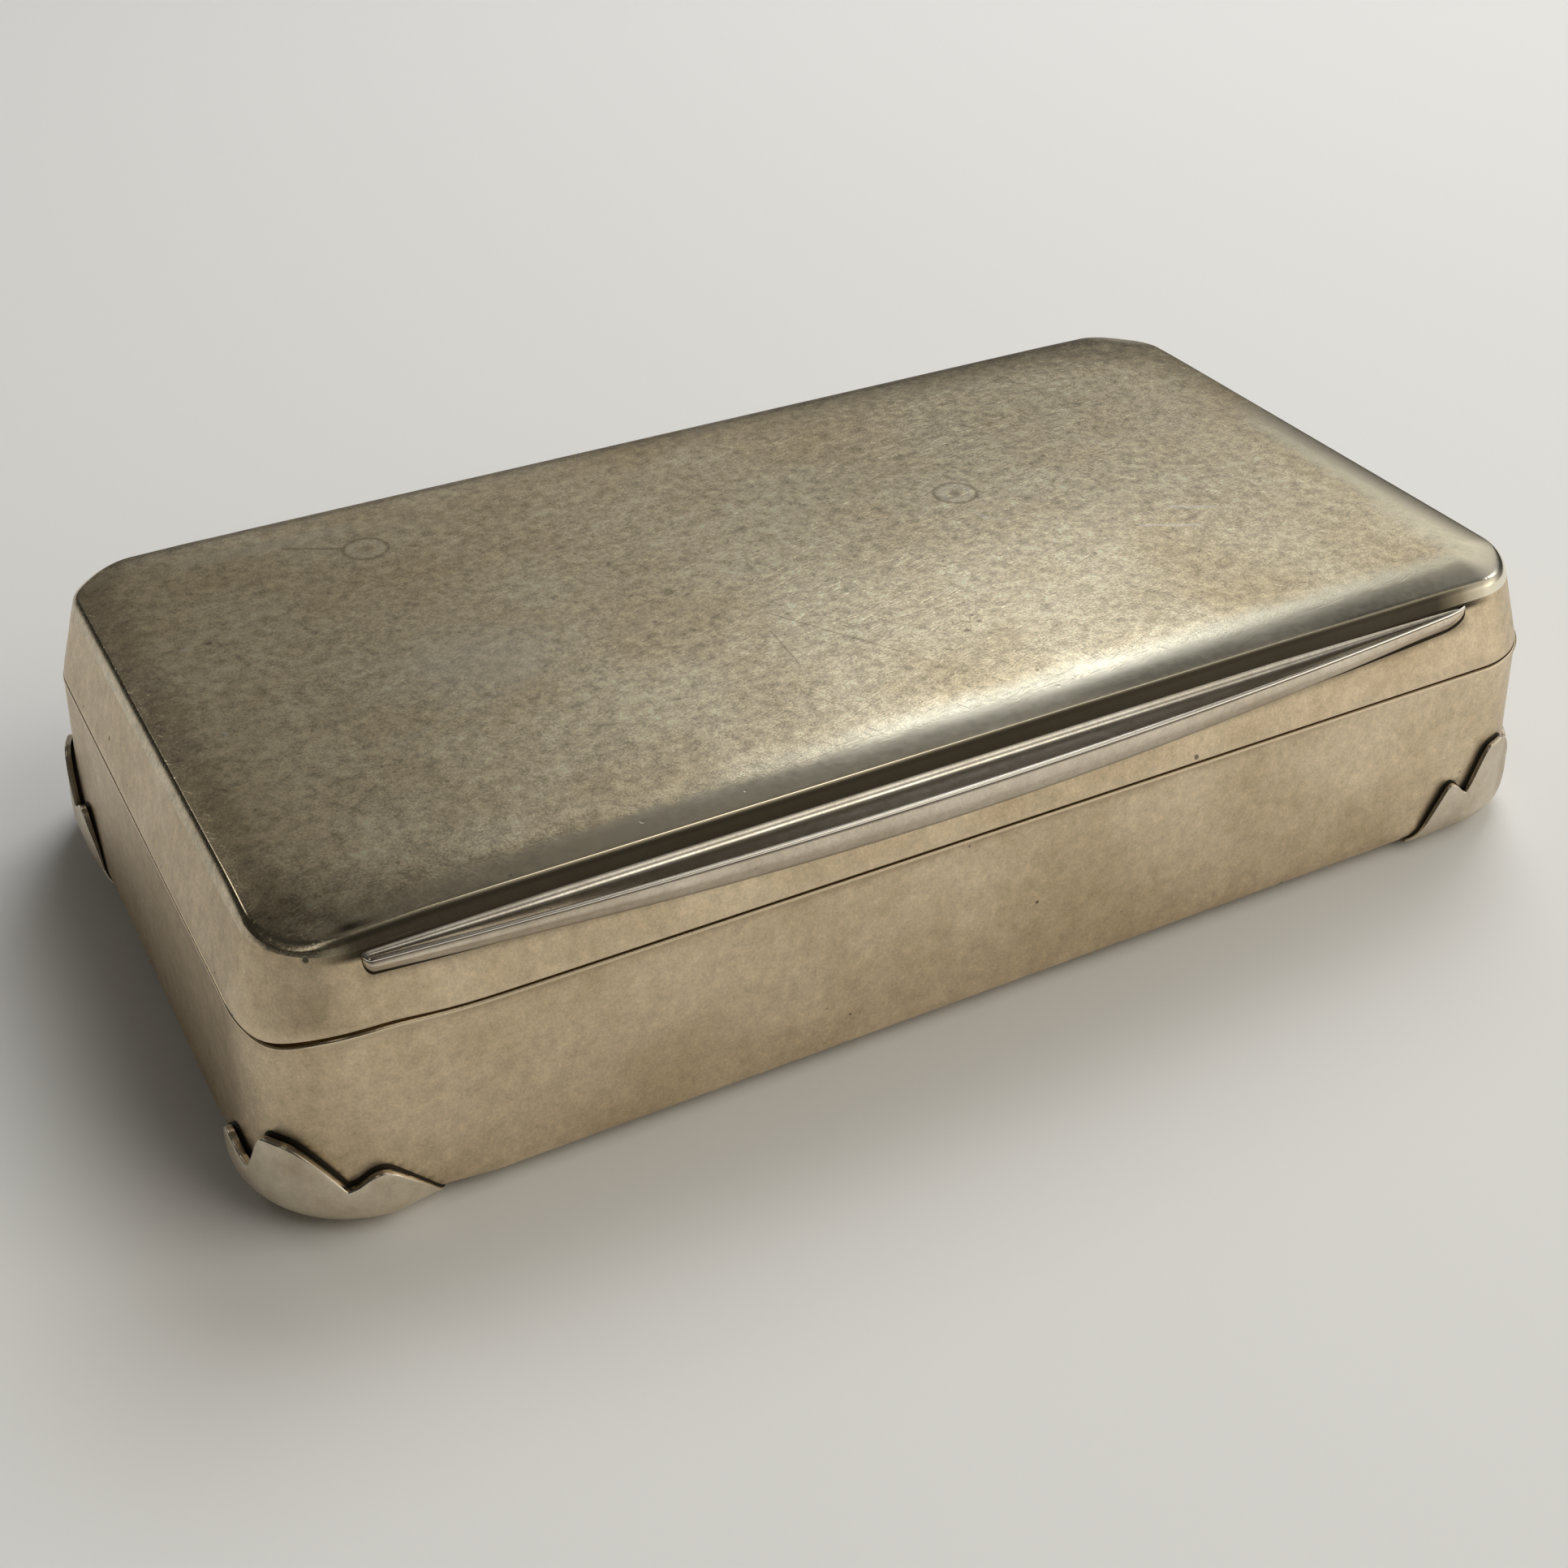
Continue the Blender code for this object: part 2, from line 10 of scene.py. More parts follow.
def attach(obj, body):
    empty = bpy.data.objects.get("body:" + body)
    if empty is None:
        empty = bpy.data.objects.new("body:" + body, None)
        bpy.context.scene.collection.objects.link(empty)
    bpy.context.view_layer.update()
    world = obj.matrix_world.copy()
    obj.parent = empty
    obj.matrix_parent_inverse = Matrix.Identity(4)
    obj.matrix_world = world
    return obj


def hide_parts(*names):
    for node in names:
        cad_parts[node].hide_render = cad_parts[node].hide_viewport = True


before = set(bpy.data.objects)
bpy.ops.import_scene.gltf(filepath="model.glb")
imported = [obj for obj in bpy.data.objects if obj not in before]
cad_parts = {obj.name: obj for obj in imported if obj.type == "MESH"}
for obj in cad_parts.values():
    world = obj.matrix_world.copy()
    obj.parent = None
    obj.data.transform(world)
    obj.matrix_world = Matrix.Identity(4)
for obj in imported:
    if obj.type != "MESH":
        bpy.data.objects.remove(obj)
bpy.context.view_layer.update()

bpy.context.scene.view_settings.view_transform = "Standard"
MM = 0.001


# The camera stands where the photograph was taken from, close over the front left corner
CAMERA_PLACE = Vector((-58.72, -107.28, 85.97)) * MM
CAMERA_TURN = (radians(55.353), radians(0.087), radians(-28.323))
CAMERA_LENS = 49.09

def new_object(name, data):
    """An object in the scene"""
    made = bpy.data.objects.new(name, data)
    bpy.context.collection.objects.link(made)
    return made


camera = new_object("photo_camera", bpy.data.cameras.new("photo_camera"))
camera.location = CAMERA_PLACE
camera.rotation_euler = CAMERA_TURN
camera.data.lens = CAMERA_LENS
camera.data.clip_start = 2 * MM
camera.data.clip_end = 20.0
bpy.context.scene.camera = camera


# The table is a sheet of pale card. A window behind the box on the right lights it, and the
# silver mirrors that window, the pale wall under it and the dimmer room in front.
TABLE_HALF = 2.0
TABLE_COLOUR = (0.80, 0.797, 0.785, 1.0)
TABLE_ROUGHNESS = 0.7
TABLE_GLOSS = 0.2
LAMP_DISTANCE = 0.6
WINDOW_AZIMUTH = radians(42.0)
WINDOW_HEIGHT = radians(52.0)
WINDOW_SIZE = 0.3
WINDOW_POWER = 1.65
WINDOW_COLOUR = (0.985, 1.0, 1.015)
FILL_AZIMUTH = radians(-45.0)
FILL_HEIGHT = radians(42.0)
FILL_SIZE = 0.5
FILL_POWER = 1.35
# What the silver mirrors, as soft patches of light: azimuth, height, spread (degrees), strength.
# The window's patches end at its top edge.
MIRRORED_WINDOW = ((51, 39, 4.0, 3.3), (45, 32, 4.5, 0.12), (63, 40, 5, 0.75), (10, 31, 7, 2.0))
WINDOW_TOP = (sin(radians(38.0)), sin(radians(44.0)))
MIRRORED_ROOM = (
    (37, 23, 6, 0.92), (49, 17, 7, 0.07), (66, 22, 7, 0.23), (76, 14, 7, 0.23), (98, 19, 7, 0.08),
    (87, 34, 7, 0.16), (76, 48, 7, 0.07), (54, 50, 8, 0.09), (-20, 20, 14, 0.7),
    (12, 66, 7, 2.2), (112, 38, 4, 3.0), (-165, 66, 3, 4.0), (-50, 48, 9, 1.2), (-67, -4, 14, 0.98),
    (-100, -2, 11, 0.75), (-38, 2, 11, 1.6),
)
WINDOW_TINT = (0.98, 1.0, 1.02, 1.0)
ROOM_TINT = (1.0, 0.955, 0.86, 1.0)
ROOM_DARK = 0.03


def add(tree, kind, inputs=None, **settings):
    """A node with its settings; an input is given as a value, or as a socket to link from"""
    made = tree.nodes.new(kind)
    for name, value in settings.items():
        setattr(made, name, value)
    for name, value in (inputs or {}).items():
        if isinstance(value, bpy.types.NodeSocket):
            tree.links.new(value, made.inputs[name])
        else:
            made.inputs[name].default_value = value
    return made


def maths(tree, operation, *values, clamp=False):
    """The result of a Math node"""
    made = add(tree, "ShaderNodeMath", dict(enumerate(values)), operation=operation, use_clamp=clamp)
    return made.outputs[0]


def ramp(tree, value, low, high, to_low=0.0, to_high=1.0):
    """A value mapped smoothly from one range to another"""
    made = add(tree, "ShaderNodeMapRange", {"Value": value, "From Min": low, "From Max": high,
                                            "To Min": to_low, "To Max": to_high})
    made.interpolation_type = "SMOOTHSTEP"
    return made.outputs["Result"]


def blend(tree, factor, first, second, kind="MIX"):
    """Two colours mixed"""
    made = add(tree, "ShaderNodeMix", data_type="RGBA", blend_type=kind)
    for socket, value in ((0, factor), (6, first), (7, second)):
        if isinstance(value, bpy.types.NodeSocket):
            tree.links.new(value, made.inputs[socket])
        else:
            made.inputs[socket].default_value = value
    return made.outputs[2]


def vector_maths(tree, operation, first, second):
    """The result of a Vector Math node"""
    made = add(tree, "ShaderNodeVectorMath", {0: first, 1: second}, operation=operation)
    return made.outputs["Value" if operation in ("DOT_PRODUCT", "DISTANCE") else "Vector"]


def direction(azimuth, height):
    """Unit vector toward an azimuth and a height in radians"""
    return Vector((cos(height) * cos(azimuth), cos(height) * sin(azimuth), sin(height)))


def soft_lamp(name, azimuth, height, size, power, colour):
    """A square lamp aimed at the box; the silver mirrors the room's patches, not the lamp"""
    lamp = new_object(name, bpy.data.lights.new(name, "AREA"))
    lamp.data.shape = "SQUARE"
    lamp.data.size = size
    lamp.data.energy = power
    lamp.data.color = colour
    toward = direction(azimuth, height)
    lamp.location = toward * LAMP_DISTANCE
    lamp.rotation_euler = toward.to_track_quat("Z", "Y").to_euler()
    lamp.visible_glossy = False


table_mesh = bpy.data.meshes.new("table_card")
table_corners = [(x * TABLE_HALF, y * TABLE_HALF, 0.0) for x, y in ((-1, -1), (1, -1), (1, 1), (-1, 1))]
table_mesh.from_pydata(table_corners, [], [(0, 1, 2, 3)])
table = new_object("table_card", table_mesh)
card = bpy.data.materials.new("pale_card")
card.use_nodes = True
card_shader = card.node_tree.nodes["Principled BSDF"]
card_shader.inputs["Base Color"].default_value = TABLE_COLOUR
card_shader.inputs["Roughness"].default_value = TABLE_ROUGHNESS
card_shader.inputs["Specular IOR Level"].default_value = TABLE_GLOSS
table_mesh.materials.append(card)

soft_lamp("window_light", WINDOW_AZIMUTH, WINDOW_HEIGHT, WINDOW_SIZE, WINDOW_POWER, WINDOW_COLOUR)
soft_lamp("room_light", FILL_AZIMUTH, FILL_HEIGHT, FILL_SIZE, FILL_POWER, ROOM_TINT[:3])

world = bpy.data.worlds.new("room")
bpy.context.scene.world = world
world.use_nodes = True
room = world.node_tree
room.nodes.remove(room.nodes["Background"])
way = add(room, "ShaderNodeTexCoord").outputs["Generated"]
under_top = ramp(room, add(room, "ShaderNodeSeparateXYZ", {0: way}).outputs["Z"], *WINDOW_TOP, 1.0, 0.0)
parts = []
for glows, tint, dark, share in ((MIRRORED_WINDOW, WINDOW_TINT, 0.0, under_top),
                                 (MIRRORED_ROOM, ROOM_TINT, ROOM_DARK, 1.0)):
    glow = dark
    for azimuth, height, spread, strength in glows:
        aim = direction(radians(azimuth), radians(height))
        near = vector_maths(room, "DOT_PRODUCT", way, aim)
        near = maths(room, "MULTIPLY", maths(room, "SUBTRACT", near, 1.0), 1 / radians(spread) ** 2)
        glow = maths(room, "MULTIPLY_ADD", maths(room, "EXPONENT", near), strength, glow)
    glow = maths(room, "MULTIPLY", glow, share)
    parts.append(add(room, "ShaderNodeBackground", {"Color": tint, "Strength": glow}).outputs[0])
both = add(room, "ShaderNodeAddShader", {0: parts[0], 1: parts[1]})
room.links.new(both.outputs[0], room.nodes["World Output"].inputs["Surface"])


# Base band: the box's side wall. One sheet of silver bent round a rounded rectangle and
# soldered at a seam, spreading a little downwards, with its lower edge turned under.
LENGTH = 88.0 * MM
WIDTH = 48.4 * MM
CORNER_RADIUS = 6.2 * MM
HALF_LENGTH = LENGTH / 2
HALF_WIDTH = WIDTH / 2
BASE_LIFT = 0.5 * MM
SEAM_HEIGHT = 13.0 * MM
BODY_FLARE = 0.8 * MM
WALL = 0.8 * MM
EDGE_RADIUS = 1.5 * MM
LIP_REACH = 1.6 * MM
SEAM_GAP = 0.012 * MM
RIM_ROUND = 0.13 * MM
LIP_SPREAD = 0.13 * MM
LIP_START = 0.5 * MM
LIP_FULL = 0.2 * MM
LIP_LEFT = 0.25
SWEEP_SPACING = 0.5 * MM
SWEEP_CORNER_STEPS = 24
EDGE_STEPS = 10
WALL_STEPS = 34
MERGE_GAP = 0.002 * MM
FLARE_SLOPE = BODY_FLARE / (SEAM_HEIGHT - BASE_LIFT)
FLARE_ANGLE = atan(FLARE_SLOPE)
EDGE_HEIGHT = BASE_LIFT + EDGE_RADIUS
EDGE_TURN = pi / 2 + FLARE_ANGLE
EDGE_LENGTH = EDGE_TURN * EDGE_RADIUS
EDGE_OUTSET = FLARE_SLOPE * (SEAM_HEIGHT - EDGE_HEIGHT) - EDGE_RADIUS / cos(FLARE_ANGLE)


def skin_point(travel, offset):
    """(outset, height) on the base's skin moved out by an offset, by travel up the skin"""
    if travel <= 0:
        return EDGE_OUTSET + travel, BASE_LIFT - offset
    reach = EDGE_RADIUS + offset
    turn = min(travel / EDGE_RADIUS, EDGE_TURN)
    climb = max(travel - EDGE_LENGTH, 0.0)
    outset = EDGE_OUTSET + reach * sin(turn) - climb * sin(FLARE_ANGLE)
    return outset, EDGE_HEIGHT - reach * cos(turn) + climb * cos(FLARE_ANGLE)


def skin_travel(height):
    """Travel up the base's skin at which its outer face reaches a height"""
    turn_top = EDGE_HEIGHT - EDGE_RADIUS * cos(EDGE_TURN)
    if height >= turn_top:
        return EDGE_LENGTH + (height - turn_top) / cos(FLARE_ANGLE)
    return EDGE_RADIUS * (pi / 2 - asin((EDGE_HEIGHT - height) / EDGE_RADIUS))


def group_sockets(tree, side, kind, *names):
    """New sockets of one kind on one side of a node group"""
    for name in names:
        tree.interface.new_socket(name, in_out=side, socket_type="NodeSocket" + kind)


def close_tree(tree, geometry, material):
    """End a Geometry Nodes tree in real geometry with its material"""
    solid = add(tree, "GeometryNodeRealizeInstances", {"Geometry": geometry}).outputs[0]
    solid = add(tree, "GeometryNodeSetMaterial", {"Geometry": solid, "Material": material}).outputs[0]
    add(tree, "NodeGroupOutput", {"Geometry": solid})


def sweep_tree():
    """Geometry Nodes tree that carries a profile round the box's rounded rectangle"""
    tree = bpy.data.node_groups.new("sweep_round_box", "GeometryNodeTree")
    group_sockets(tree, "INPUT", "Geometry", "Geometry")
    group_sockets(tree, "INPUT", "Float", "Length", "Width", "Corner Radius", "Spacing")
    group_sockets(tree, "INPUT", "Material", "Material")
    group_sockets(tree, "OUTPUT", "Geometry", "Geometry")
    given = add(tree, "NodeGroupInput").outputs
    path = add(tree, "GeometryNodeCurvePrimitiveQuadrilateral",
               {"Width": given["Length"], "Height": given["Width"]}).outputs[0]
    rounded = {"Curve": path, "Radius": given["Corner Radius"], "Count": SWEEP_CORNER_STEPS}
    path = add(tree, "GeometryNodeFilletCurve", rounded, mode="POLY").outputs[0]
    spaced = {"Curve": path, "Length": given["Spacing"]}
    path = add(tree, "GeometryNodeResampleCurve", spaced, mode="LENGTH").outputs[0]
    path = add(tree, "GeometryNodeSetCurveNormal", {"Curve": path}, mode="Z_UP").outputs[0]
    profile = add(tree, "GeometryNodeMeshToCurve", {"Mesh": given["Geometry"]}).outputs[0]
    swept = add(tree, "GeometryNodeCurveToMesh", {"Curve": path, "Profile Curve": profile}).outputs[0]
    close_tree(tree, swept, given["Material"])
    return tree


SWEEP = sweep_tree()


def applied(piece, modifier):
    """A piece's mesh with its modifier applied"""
    bpy.context.view_layer.update()
    evaluated = piece.evaluated_get(bpy.context.evaluated_depsgraph_get())
    mesh = bpy.data.meshes.new_from_object(evaluated)
    piece.modifiers.remove(modifier)
    return mesh


def grown(name, source, tree, values):
    """A plain mesh object grown by a Geometry Nodes tree from a source mesh"""
    seed = new_object(name, source)
    growth = seed.modifiers.new("growth", "NODES")
    growth.node_group = tree
    for socket in tree.interface.items_tree:
        if socket.item_type == "SOCKET" and socket.in_out == "INPUT" and socket.name in values:
            growth[socket.identifier] = values[socket.name]
    mesh = applied(seed, growth)
    bpy.data.objects.remove(seed, do_unlink=True)
    return new_object(name, mesh)


def spaced(first, last, steps):
    """Evenly spaced values from first to last"""
    return [first + (last - first) * k / steps for k in range(steps + 1)]


def closed_profile(points):
    """A closed polyline mesh of (outset, height) points, for the sweep"""
    mesh = bpy.data.meshes.new("profile")
    edges = [(k, (k + 1) % len(points)) for k in range(len(points))]
    mesh.from_pydata([(outset, -height, 0.0) for outset, height in points], edges, [])
    return mesh


def fillet(points, rounds, steps=6):
    """A closed outline of (outset, height) points with some of its corners rounded"""
    made = []
    count = len(points)
    for k, point in enumerate(points):
        if k not in rounds:
            made.append(point)
            continue
        here = Vector(point)
        before = (Vector(points[k - 1]) - here).normalized()
        after = (Vector(points[(k + 1) % count]) - here).normalized()
        half = before.angle(after) / 2
        start = here + before * (rounds[k] / tan(half))
        centre = here + (before + after).normalized() * (rounds[k] / sin(half))
        arm = start - centre
        turn = (here + after * (rounds[k] / tan(half)) - centre).angle_signed(arm)
        for angle in spaced(0.0, turn, steps):
            spot = Vector((arm.x * cos(angle) - arm.y * sin(angle), arm.x * sin(angle) + arm.y * cos(angle)))
            made.append(tuple(centre + spot))
    return made


def smoothed(piece, angle=38.0):
    """Shade a piece smooth, with its sharp edges kept, and turn its faces outwards"""
    bm = bmesh.new()
    bm.from_mesh(piece.data)
    bmesh.ops.remove_doubles(bm, verts=bm.verts, dist=MERGE_GAP)
    bmesh.ops.recalc_face_normals(bm, faces=bm.faces)
    bm.to_mesh(piece.data)
    bm.free()
    piece.data.shade_smooth()
    piece.data.set_sharp_from_angle(angle=radians(angle))


def vertex_places(piece):
    """Positions of a piece's vertices, one row each"""
    places = np.empty(len(piece.data.vertices) * 3)
    piece.data.vertices.foreach_get("co", places)
    return places.reshape(-1, 3)


def paint(piece, **masks):
    """Store one number per vertex for the materials to read; inside, dirt (real dirt and
    painted shade) and worn are 0 where neither this call nor the piece's own loft gives them"""
    for name, values in {"inside": 0.0, "dirt": 0.0, "worn": 0.0, **masks}.items():
        if name not in piece.data.attributes:
            layer = piece.data.attributes.new(name, "FLOAT", "POINT")
            layer.data.foreach_set("value", np.full(len(piece.data.vertices), values, dtype=float))


def corner_reach(places):
    """How far each place lies past the centres of the corner rounds, along x and along y"""
    return np.abs(places[:, :2]) - (HALF_LENGTH - CORNER_RADIUS, HALF_WIDTH - CORNER_RADIUS)


def in_corner(places, side_x, side_y):
    """Whether each place lies in one quarter of the box in plan"""
    return (places[:, 0] * side_x > 0) & (places[:, 1] * side_y > 0)


def plan_outset(places):
    """How far each place lies outside the seam outline in plan"""
    reach = corner_reach(places)
    return np.hypot(*np.maximum(reach, 0).T) + np.minimum(reach.max(axis=1), 0) - CORNER_RADIUS


def plan_outward(places):
    """Unit vector in plan from each place to the outside of the box"""
    reach = corner_reach(places)
    outward = np.maximum(reach, 0) * np.sign(places[:, :2])
    return outward / np.maximum(np.hypot(*outward.T), 0.01 * MM)[:, None]


def rise(values, low, high):
    """Smooth step of an array from 0 to 1"""
    share = np.clip((values - low) / (high - low), 0, 1)
    return share * share * (3 - 2 * share)


def from_corner(places):
    """Distance along the wall from the middle of the nearest corner, positive on the long walls"""
    reach = corner_reach(places)
    turn = np.arctan2(np.maximum(reach[:, 1], 0), np.maximum(reach[:, 0], 0))
    turn = np.where((reach < 0).all(axis=1), pi / 2 * (reach[:, 1] > reach[:, 0]), turn)
    straight = np.where(reach[:, 0] < reach[:, 1], -np.minimum(reach[:, 0], 0), np.minimum(reach[:, 1], 0))
    return CORNER_RADIUS * (turn - pi / 4) + straight


# The box has been strained at its front left corner: both edges of the seam sink there
# and rise again beside it on the front, and the gap between them opens. Each is a distance
# along the wall from the corner, a spread and a size.
STRAIN_SINK = (-1.2 * MM, 2.3 * MM, -0.55 * MM)
STRAIN_LIFT = (4.6 * MM, 3.6 * MM, 0.42 * MM)
STRAIN_GAP = (-0.3 * MM, 2.0 * MM, 0.11 * MM)
# How far from the seam the strain starts to fade and ends
STRAIN_DEPTH = (0.3 * MM, 3.2 * MM)


def seam_strain(places, side, slope):
    """Places with the seam's edges strained along the wall, which leans in by the slope; the
    side is 1 for the lid's edge and -1 for the box's"""
    along = from_corner(places)
    moved = np.zeros(len(places))
    for (middle, spread, size), share in ((STRAIN_SINK, 1), (STRAIN_LIFT, 1), (STRAIN_GAP, side)):
        moved += share * size * np.exp(-((along - middle) / spread) ** 2)
    depth = np.abs(places[:, 2] - SEAM_HEIGHT)
    moved *= in_corner(places, -1, -1) * (1 - rise(depth, *STRAIN_DEPTH))
    strained = places.copy()
    strained[:, 2] += moved
    strained[:, :2] -= (moved * slope)[:, None] * plan_outward(places)
    return strained


def move_vertices(piece, places):
    """Put a piece's vertices at new places"""
    piece.data.vertices.foreach_set("co", places.ravel())
    piece.data.update()


# Hinge cut: the opening filed through both back walls for the barrel and its bearers
BARREL_LENGTH = LENGTH - 2 * (CORNER_RADIUS + 2.8 * MM)
REBATE_LENGTH = BARREL_LENGTH + 2.7 * MM
REBATE_RADIUS = 2.22 * MM
REBATE_STEPS = 64
HINGE_AXIS = Vector((0.0, HALF_WIDTH, SEAM_HEIGHT))


def cut_for_hinge(piece):
    """Cut the hinge's opening out of a swept wall"""
    bm = bmesh.new()
    bmesh.ops.create_cone(bm, cap_ends=True, segments=REBATE_STEPS, depth=REBATE_LENGTH,
                          radius1=REBATE_RADIUS, radius2=REBATE_RADIUS)
    mesh = bpy.data.meshes.new("hinge_file")
    bm.to_mesh(mesh)
    bm.free()
    mesh.materials.append(piece.data.materials[0])
    tool = new_object("hinge_file", mesh)
    tool.rotation_euler = (0.0, pi / 2, 0.0)
    tool.location = HINGE_AXIS
    cut = piece.modifiers.new("hinge_opening", "BOOLEAN")
    cut.operation = "DIFFERENCE"
    cut.solver = "EXACT"
    cut.object = tool
    piece.data = applied(piece, cut)
    bpy.data.objects.remove(tool, do_unlink=True)


# Old silver. Its noises are given as scale per millimetre, detail and roughness; the patches and
# the cloud take their scale from the piece's patch size. Its heights are shares of the relief.
PATCH_NOISE = (4.0, 0.6)
PATCH_EDGE = (0.33, 0.68)
PATCH_SHARE = 0.7
CLOUD_NOISE = (3.0, 0.6)
CLOUD_FINER = 3.7
CLOUD_SHARE = 0.6
BLOTCH_NOISE = (1.15, 5.0, 0.78)
FINE_NOISE = (2.1, 3.0, 0.62)
GRAIN_NOISE = (6.5, 2.0, 0.6)
DENT_NOISE = (0.11, 1.0, 0.4)
GRAIN_SHADE = 0.55
PIT_SPACING = 0.62
PIT_SIZE = 0.13
PIT_RARITY = 0.55
PIT_EDGE = 0.05
PIT_COLOUR = (0.09, 0.075, 0.055, 1.0)
# Scratches from wiping: direction in degrees, length in mm, and how few there are
SCRATCHES = ((20.0, 3.2, 0.60), (4.0, 4.5, 0.62), (-58.0, 2.6, 0.63))
SCRATCH_NOISE = (1.0, 2.0)
SCRATCH_WIDTH = 0.14
SCRATCH_EDGE = 0.12
SCRATCH_SHINE = 0.35
# Colour of dirt, also used for painted shade in hollows and gaps
DIRT_AND_SHADE_COLOUR = (0.055, 0.045, 0.032, 1.0)
GILT_COLOUR = (0.80, 0.58, 0.27, 1.0)
GILT_SMOOTHER = -0.06
ROUGHER = {"grain": 0.12, "tarnish": 0.06, "dirt": 0.25, "worn": -0.18}
LEAST_ROUGHNESS = 0.08
HEIGHTS = {"dent": 2.5, "fine": 0.10, "grain": 0.30, "scratch": -0.3, "pit": -1.2}
RELIEF_DEPTH = 0.012 * MM
PER_MM = 1000.0


def noise(tree, vector, scale, detail, roughness=0.5):
    """A noise pattern, from 0 to 1"""
    values = {"Vector": vector, "Scale": scale, "Detail": detail, "Roughness": roughness}
    return add(tree, "ShaderNodeTexNoise", values).outputs["Fac"]


def attribute(tree, name):
    """A number painted on the vertices"""
    return add(tree, "ShaderNodeAttribute", attribute_name=name).outputs["Fac"]


def place_in_mm(tree, height=PER_MM):
    """Place on the piece in mm; with a height scale of 0, its place in plan"""
    place = add(tree, "ShaderNodeTexCoord").outputs["Object"]
    return vector_maths(tree, "MULTIPLY", place, (PER_MM, PER_MM, height))


def silver_group():
    """Shader group for old silver: tarnish in patches, mottling, pits, scratches and dents"""
    tree = bpy.data.node_groups.new("old_silver_surface", "ShaderNodeTree")
    group_sockets(tree, "INPUT", "Color", "Silver", "Tarnish")
    group_sockets(tree, "INPUT", "Float", "Tarnish Amount", "Patch Size", "Mottle", "Relief", "Pits",
                  "Scratches", "Roughness", "Worn", "Dirt And Shade")
    group_sockets(tree, "OUTPUT", "Color", "Color")
    group_sockets(tree, "OUTPUT", "Float", "Roughness", "Height")
    given = add(tree, "NodeGroupInput").outputs
    place = place_in_mm(tree)
    patch_scale = maths(tree, "DIVIDE", 1.0, given["Patch Size"])
    patches = ramp(tree, noise(tree, place, patch_scale, *PATCH_NOISE), *PATCH_EDGE)
    cloud = noise(tree, place, maths(tree, "MULTIPLY", patch_scale, CLOUD_FINER), *CLOUD_NOISE)
    blotch = noise(tree, place, *BLOTCH_NOISE)
    fine = noise(tree, place, *FINE_NOISE)
    grain = noise(tree, place, *GRAIN_NOISE)

    # Tarnish lies in broad patches that a finer cloud breaks up
    amount = maths(tree, "MULTIPLY_ADD", cloud, CLOUD_SHARE, maths(tree, "MULTIPLY", patches, PATCH_SHARE))
    amount = maths(tree, "MULTIPLY", amount, given["Tarnish Amount"], clamp=True)
    colour = blend(tree, amount, given["Silver"], given["Tarnish"])
    shade = maths(tree, "SUBTRACT", blotch, 0.5)
    shade = maths(tree, "MULTIPLY_ADD", maths(tree, "SUBTRACT", grain, 0.5), GRAIN_SHADE, shade)
    shade = maths(tree, "MULTIPLY_ADD", shade, given["Mottle"], 1.0)
    tint = add(tree, "ShaderNodeCombineColor", {"Red": shade, "Green": shade, "Blue": shade}).outputs[0]
    colour = blend(tree, 1.0, colour, tint, "MULTIPLY")

    # Pits are small dark dots, few and of uneven size
    cells = add(tree, "ShaderNodeTexVoronoi", {"Vector": place, "Scale": PIT_SPACING, "Randomness": 1.0})
    size = add(tree, "ShaderNodeSeparateColor", {"Color": cells.outputs["Color"]}).outputs["Red"]
    size = ramp(tree, size, PIT_RARITY, 1.0, 0.0, PIT_SIZE)
    pit = maths(tree, "SUBTRACT", size, cells.outputs["Distance"])
    pit = ramp(tree, pit, 0.0, PIT_EDGE)
    pit = maths(tree, "MULTIPLY", pit, given["Pits"], clamp=True)
    colour = blend(tree, pit, colour, PIT_COLOUR)

    # Scratches from wiping show the bare silver
    scratch = 0.0
    for angle, length, limit in SCRATCHES:
        values = {"Vector": place, "Rotation": (0.0, 0.0, radians(angle)),
                  "Scale": (length, SCRATCH_WIDTH, SCRATCH_WIDTH)}
        turned = add(tree, "ShaderNodeMapping", values, vector_type="TEXTURE").outputs[0]
        mark = ramp(tree, noise(tree, turned, *SCRATCH_NOISE), limit, limit + SCRATCH_EDGE)
        scratch = maths(tree, "MAXIMUM", scratch, mark)
    scratch = maths(tree, "MULTIPLY", scratch, given["Scratches"])
    colour = blend(tree, maths(tree, "MULTIPLY", scratch, SCRATCH_SHINE), colour, given["Silver"])

    # Dirt and painted shade darken joints and hollows; edges are rubbed bright, the lid's crease with a
    # painted highlight
    colour = blend(tree, given["Dirt And Shade"], colour, DIRT_AND_SHADE_COLOUR)
    colour = blend(tree, given["Worn"], colour, given["Silver"])
    rough = given["Roughness"]
    for mask, name in ((maths(tree, "SUBTRACT", fine, 0.5), "grain"), (amount, "tarnish"),
                       (given["Dirt And Shade"], "dirt"), (given["Worn"], "worn")):
        rough = maths(tree, "MULTIPLY_ADD", mask, ROUGHER[name], rough)
    rough = maths(tree, "MAXIMUM", rough, LEAST_ROUGHNESS)
    height = maths(tree, "MULTIPLY", noise(tree, place, *DENT_NOISE), HEIGHTS["dent"])
    relief = maths(tree, "MULTIPLY", grain, HEIGHTS["grain"])
    relief = maths(tree, "MULTIPLY_ADD", fine, HEIGHTS["fine"], relief)
    height = maths(tree, "MULTIPLY_ADD", relief, given["Relief"], height)
    height = maths(tree, "MULTIPLY_ADD", scratch, HEIGHTS["scratch"], height)
    height = maths(tree, "MULTIPLY_ADD", pit, HEIGHTS["pit"], height)
    add(tree, "NodeGroupOutput", {"Color": colour, "Roughness": rough, "Height": height})
    return tree


OLD_SILVER = silver_group()


